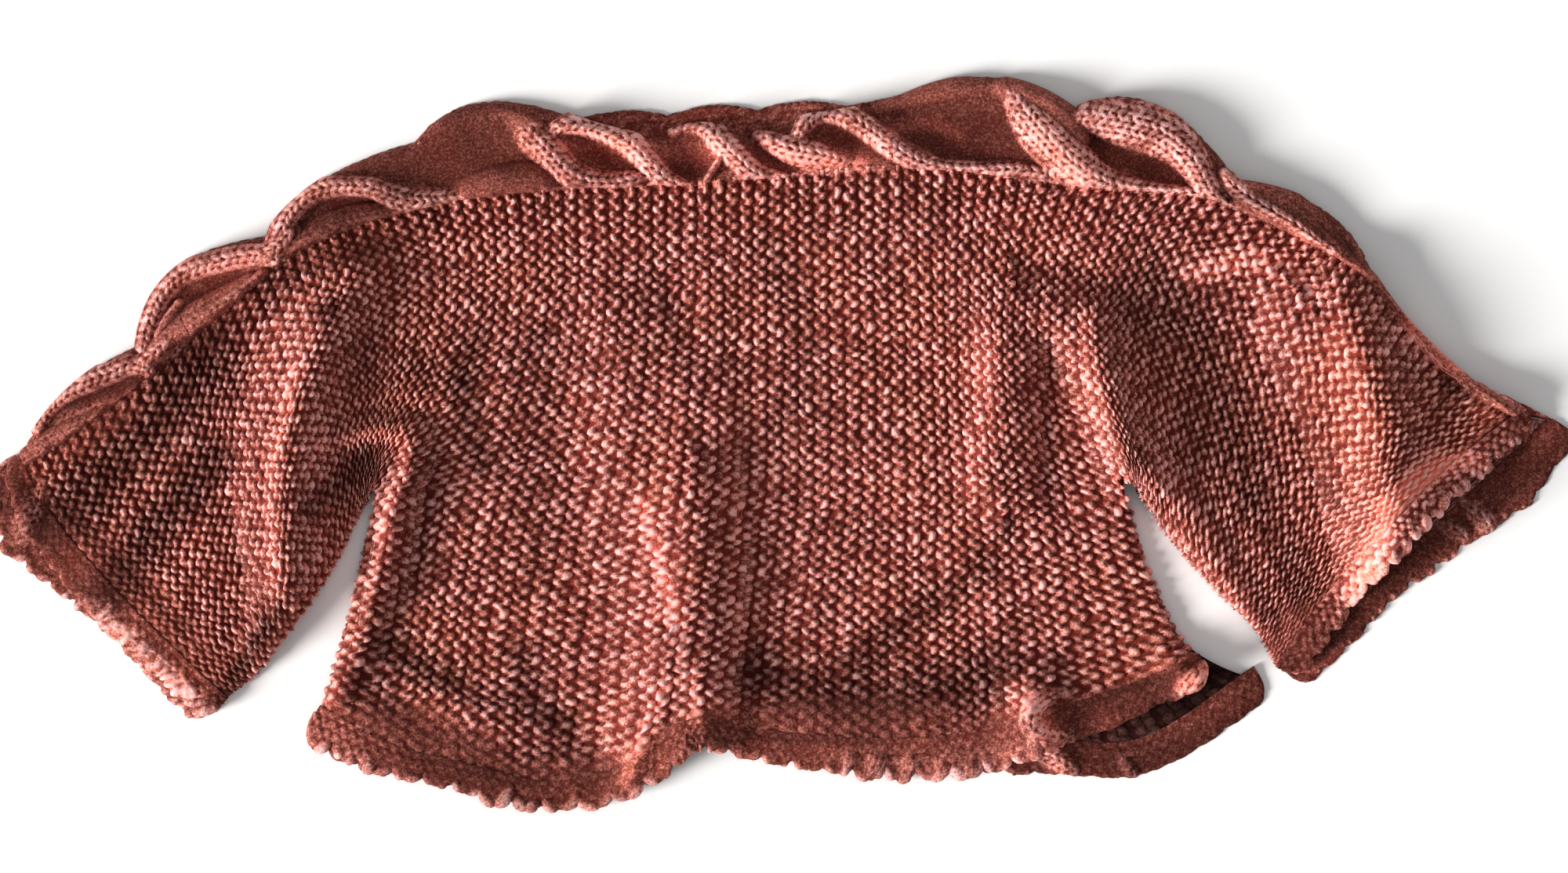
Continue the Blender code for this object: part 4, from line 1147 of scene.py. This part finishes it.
def size(name, description, value, **limits):
    """A size setting, shown in the scene's unit of length."""
    return FloatProperty(name=name, description=description, default=value * MM, unit="LENGTH", **limits)


def tint(name, description, value):
    """A colour setting."""
    return FloatVectorProperty(name=name, description=description, subtype="COLOR", default=value, size=3,
                               min=0.0, max=1.0)


class SweaterSizes(bpy.types.PropertyGroup):
    loft: size("Stitch Height", "How far a purl bump stands over the cloth's middle", 1.15, min=0.0)
    gap: size("Gap Depth", "How deep the gaps between the garter ridges are", 1.35, min=0.0)
    spread: FloatProperty(name="Bump Spread", description="Distance of a bump from its ridge's middle",
                          default=0.242, min=0.1, max=0.25)
    ridge_points: IntProperty(name="Points Across a Ridge", description="Mesh columns in each garter ridge",
                              default=10, min=4, max=14)
    stitch_points: FloatProperty(name="Points Along a Stitch", description="Mesh rows in each stitch",
                                 default=7.0, min=3.0, max=10.0)
    wale: size("Cable Stitch", "Width of a knit stitch in the rope cable", 5.0, min=0.001)


class SweaterColours(bpy.types.PropertyGroup):
    # The gap and shade colours are painted shade deep between the stitches and on their flanks; the crest
    # colour is a painted highlight on their tops.
    gap: tint("Gaps", "Wool deep between the stitches", (0.180, 0.024, 0.018))
    shade: tint("Shaded Wool", "Wool on the flanks of the stitches", (0.192, 0.054, 0.040))
    body: tint("Wool", "Rose wool of the whole sweater", (0.455, 0.137, 0.108))
    crest: tint("Stitch Tops", "Wool on top of the stitches", (0.755, 0.400, 0.380))
    warm: tint("Peach Cast", "Cast of the wool's warmer patches", (1.0, 0.93, 0.74))
    floor: tint("Floor", "Pale table under the sweater", (0.94, 0.94, 0.94))


class SweaterStage(bpy.types.PropertyGroup):
    key: FloatProperty(name="Key Light", description="Strength of the low soft light from the left",
                       default=6.2, min=0.0)
    key_size: FloatProperty(name="Key Softness", description="Angle that the low light is spread over",
                            default=0.40, min=0.0, max=3.0, unit="ROTATION")
    fill: FloatProperty(name="Fill", description="Strength of the even light from all round", default=0.42,
                        min=0.0)
    distance: FloatProperty(name="Camera Distance", description="Height of the camera over the table",
                            default=2.5, min=0.5, unit="LENGTH")


class SWEATER_OT_grounds(bpy.types.Operator):
    """Build the thin closed ground of both garter panels"""

    bl_idname = "sweater.grounds"
    bl_label = "Panel Grounds"

    def execute(self, context):
        back = core_piece("back_sheet", BACK_RIDGES, BACK_HEM, False, 2.6, 2.2, wool("ground_wool"))
        front = core_piece("front_sheet", FRONT_RIDGES, FRONT_HEM, True, 3.2, 0.8, wool("ground_wool"))
        dressed(back, "garter", "back_panel")
        dressed(front, "garter", "front_panel")
        return {"FINISHED"}


class SWEATER_OT_stitches(bpy.types.Operator):
    """Build the garter stitches of the front, in four pieces of cloth"""

    bl_idname = "sweater.stitches"
    bl_label = "Garter Stitches"

    def execute(self, context):
        sizes = context.scene.sweater_sizes
        each = sizes.ridge_points
        rows = round(SLEEVE_STITCHES * sizes.stitch_points)
        low = round(BODY_STITCHES * sizes.stitch_points)
        relief = (sizes.gap / MM, sizes.loft / MM, sizes.spread, wool("garter_wool"))
        layouts = {
            "left_sleeve_stitches": sleeve_sheet(0, 35, 35 * each, rows, LEFT_ARMPIT),
            "left_body_stitches": body_sheet(35, 58, 23 * each, rows, low),
            "right_body_stitches": body_sheet(58, 82, 24 * each, rows, low),
            "right_sleeve_stitches": sleeve_sheet(82, 117, 35 * each, rows, RIGHT_ARMPIT),
        }
        for name, layout in layouts.items():
            dressed(garter_piece(name, layout, *relief), "garter")
        return {"FINISHED"}


class SWEATER_OT_cables(bpy.types.Operator):
    """Build both cable bands along the top edge, the front one with its rope of strands"""

    bl_idname = "sweater.cables"
    bl_label = "Cable Bands"

    def execute(self, context):
        wale = context.scene.sweater_sizes.wale / MM
        front = (FRONT_RIDGES, LEFT_ARCHES + FRONT_NECK_ARCHES + RIGHT_ARCHES)
        back = (BACK_RIDGES, LEFT_ARCHES + BACK_NECK_ARCHES + BACK_RIGHT_ARCHES)
        for name, band, raised_cloth in (("front_cable", front, True), ("back_cable", back, False)):
            core = cable_core(name + "_sheet", *band, raised_cloth, wool("ground_wool"))
            dressed(core, "cable", name + "_band")
        yarn = wool("cable_wool")
        dressed(cable_piece("front_cable_rope", *front, 1170, 60, True, wale, yarn), "cable")
        dressed(cable_piece("back_cable_knit", *back, 585, 26, False, wale, yarn), "cable")
        return {"FINISHED"}


class SWEATER_OT_edgings(bpy.types.Operator):
    """Build the scalloped edgings of the hem and of both cuffs"""

    bl_idname = "sweater.edgings"
    bl_label = "Scalloped Edgings"

    def execute(self, context):
        for seed, name in enumerate(EDGINGS, 50):
            dressed(edging_core(name, wool("ground_wool")), "edging", name)
            dressed(edging_piece(name, float(seed), wool("edging_wool")), "edging")
        return {"FINISHED"}


class SWEATER_OT_cloth(bpy.types.Operator):
    """Work out the length of each edging's seam, which is then not used"""

    bl_idname = "sweater.cloth"
    bl_label = "Cloth Facts"

    def execute(self, context):
        for name, (which, _, front, widths, _) in EDGINGS.items():
            length = float(length_along(seam_line(which))[-1]) * MM
        return {"FINISHED"}


class SWEATER_OT_stage(bpy.types.Operator):
    """Set the pale table, the low soft light from the left, the even fill and the camera above"""

    bl_idname = "sweater.stage"
    bl_label = "Stage"

    def execute(self, context):
        stage = context.scene.sweater_stage
        mesh = bmesh.new()
        bmesh.ops.create_grid(mesh, x_segments=1, y_segments=1, size=3.0)
        data = bpy.data.meshes.new("table_top")
        mesh.to_mesh(data)
        mesh.free()
        floor = (*context.scene.sweater_colours.floor, 1.0)
        data.materials.append(new_material("pale_table", Base_Color=floor, Roughness=0.9)[0])
        lamp = bpy.data.lights.new("key_light", "SUN")
        lamp.angle = stage.key_size
        lamp.energy = stage.key
        lamp.color = (1.0, 0.98, 0.955)
        view = bpy.data.cameras.new("camera_above")
        view.sensor_width = 36.0
        view.lens = 36.0 * stage.distance / 0.6
        view.clip_end = 20.0
        table, key, camera = (bpy.data.objects.new(part.name, part) for part in (data, lamp, view))
        for thing in (table, key, camera):
            context.collection.objects.link(thing)
        key.location = (-1.72, -0.80, 0.80)
        key.rotation_euler = (-key.location).to_track_quat("-Z", "Y").to_euler()
        camera.location = (0.00083, 0.0030, stage.distance)
        context.scene.camera = camera
        world = bpy.data.worlds.new("studio")
        world.use_nodes = True
        light = world.node_tree.nodes["Background"].inputs
        light["Color"].default_value = (1.0, 1.0, 1.0, 1.0)
        light["Strength"].default_value = stage.fill
        context.scene.world = world
        context.scene.view_settings.view_transform = "Standard"
        return {"FINISHED"}


class SWEATER_PT_panel(bpy.types.Panel):
    """Sizes, colours and builders of the sweater"""

    bl_idname = "SWEATER_PT_panel"
    bl_label = "Cropped Cable Sweater"
    bl_space_type = "VIEW_3D"
    bl_region_type = "UI"
    bl_category = "Sweater"

    def draw(self, context):
        layout = self.layout
        for group in SETTINGS:
            settings = getattr(context.scene, group)
            for label in settings.bl_rna.properties.keys():
                if label not in ("rna_type", "name"):
                    layout.prop(settings, label)
        for operator in OPERATORS:
            layout.operator(operator.bl_idname)


OPERATORS = (
    SWEATER_OT_grounds,
    SWEATER_OT_stitches,
    SWEATER_OT_cables,
    SWEATER_OT_edgings,
    SWEATER_OT_cloth,
    SWEATER_OT_stage,
)
SETTINGS = {"sweater_sizes": SweaterSizes, "sweater_colours": SweaterColours, "sweater_stage": SweaterStage}
CLASSES = (*SETTINGS.values(), *OPERATORS, SWEATER_PT_panel)


def register():
    for kind in CLASSES:
        bpy.utils.register_class(kind)
    for label, kind in SETTINGS.items():
        setattr(bpy.types.Scene, label, PointerProperty(type=kind))


def unregister():
    for label in SETTINGS:
        delattr(bpy.types.Scene, label)
    for kind in reversed(CLASSES):
        bpy.utils.unregister_class(kind)


def main():
    register()
    bpy.ops.sweater.grounds()
    bpy.ops.sweater.stitches()
    bpy.ops.sweater.cables()
    bpy.ops.sweater.edgings()
    bpy.ops.sweater.cloth()
    bpy.ops.sweater.stage()


if __name__ == "__main__":
    main()
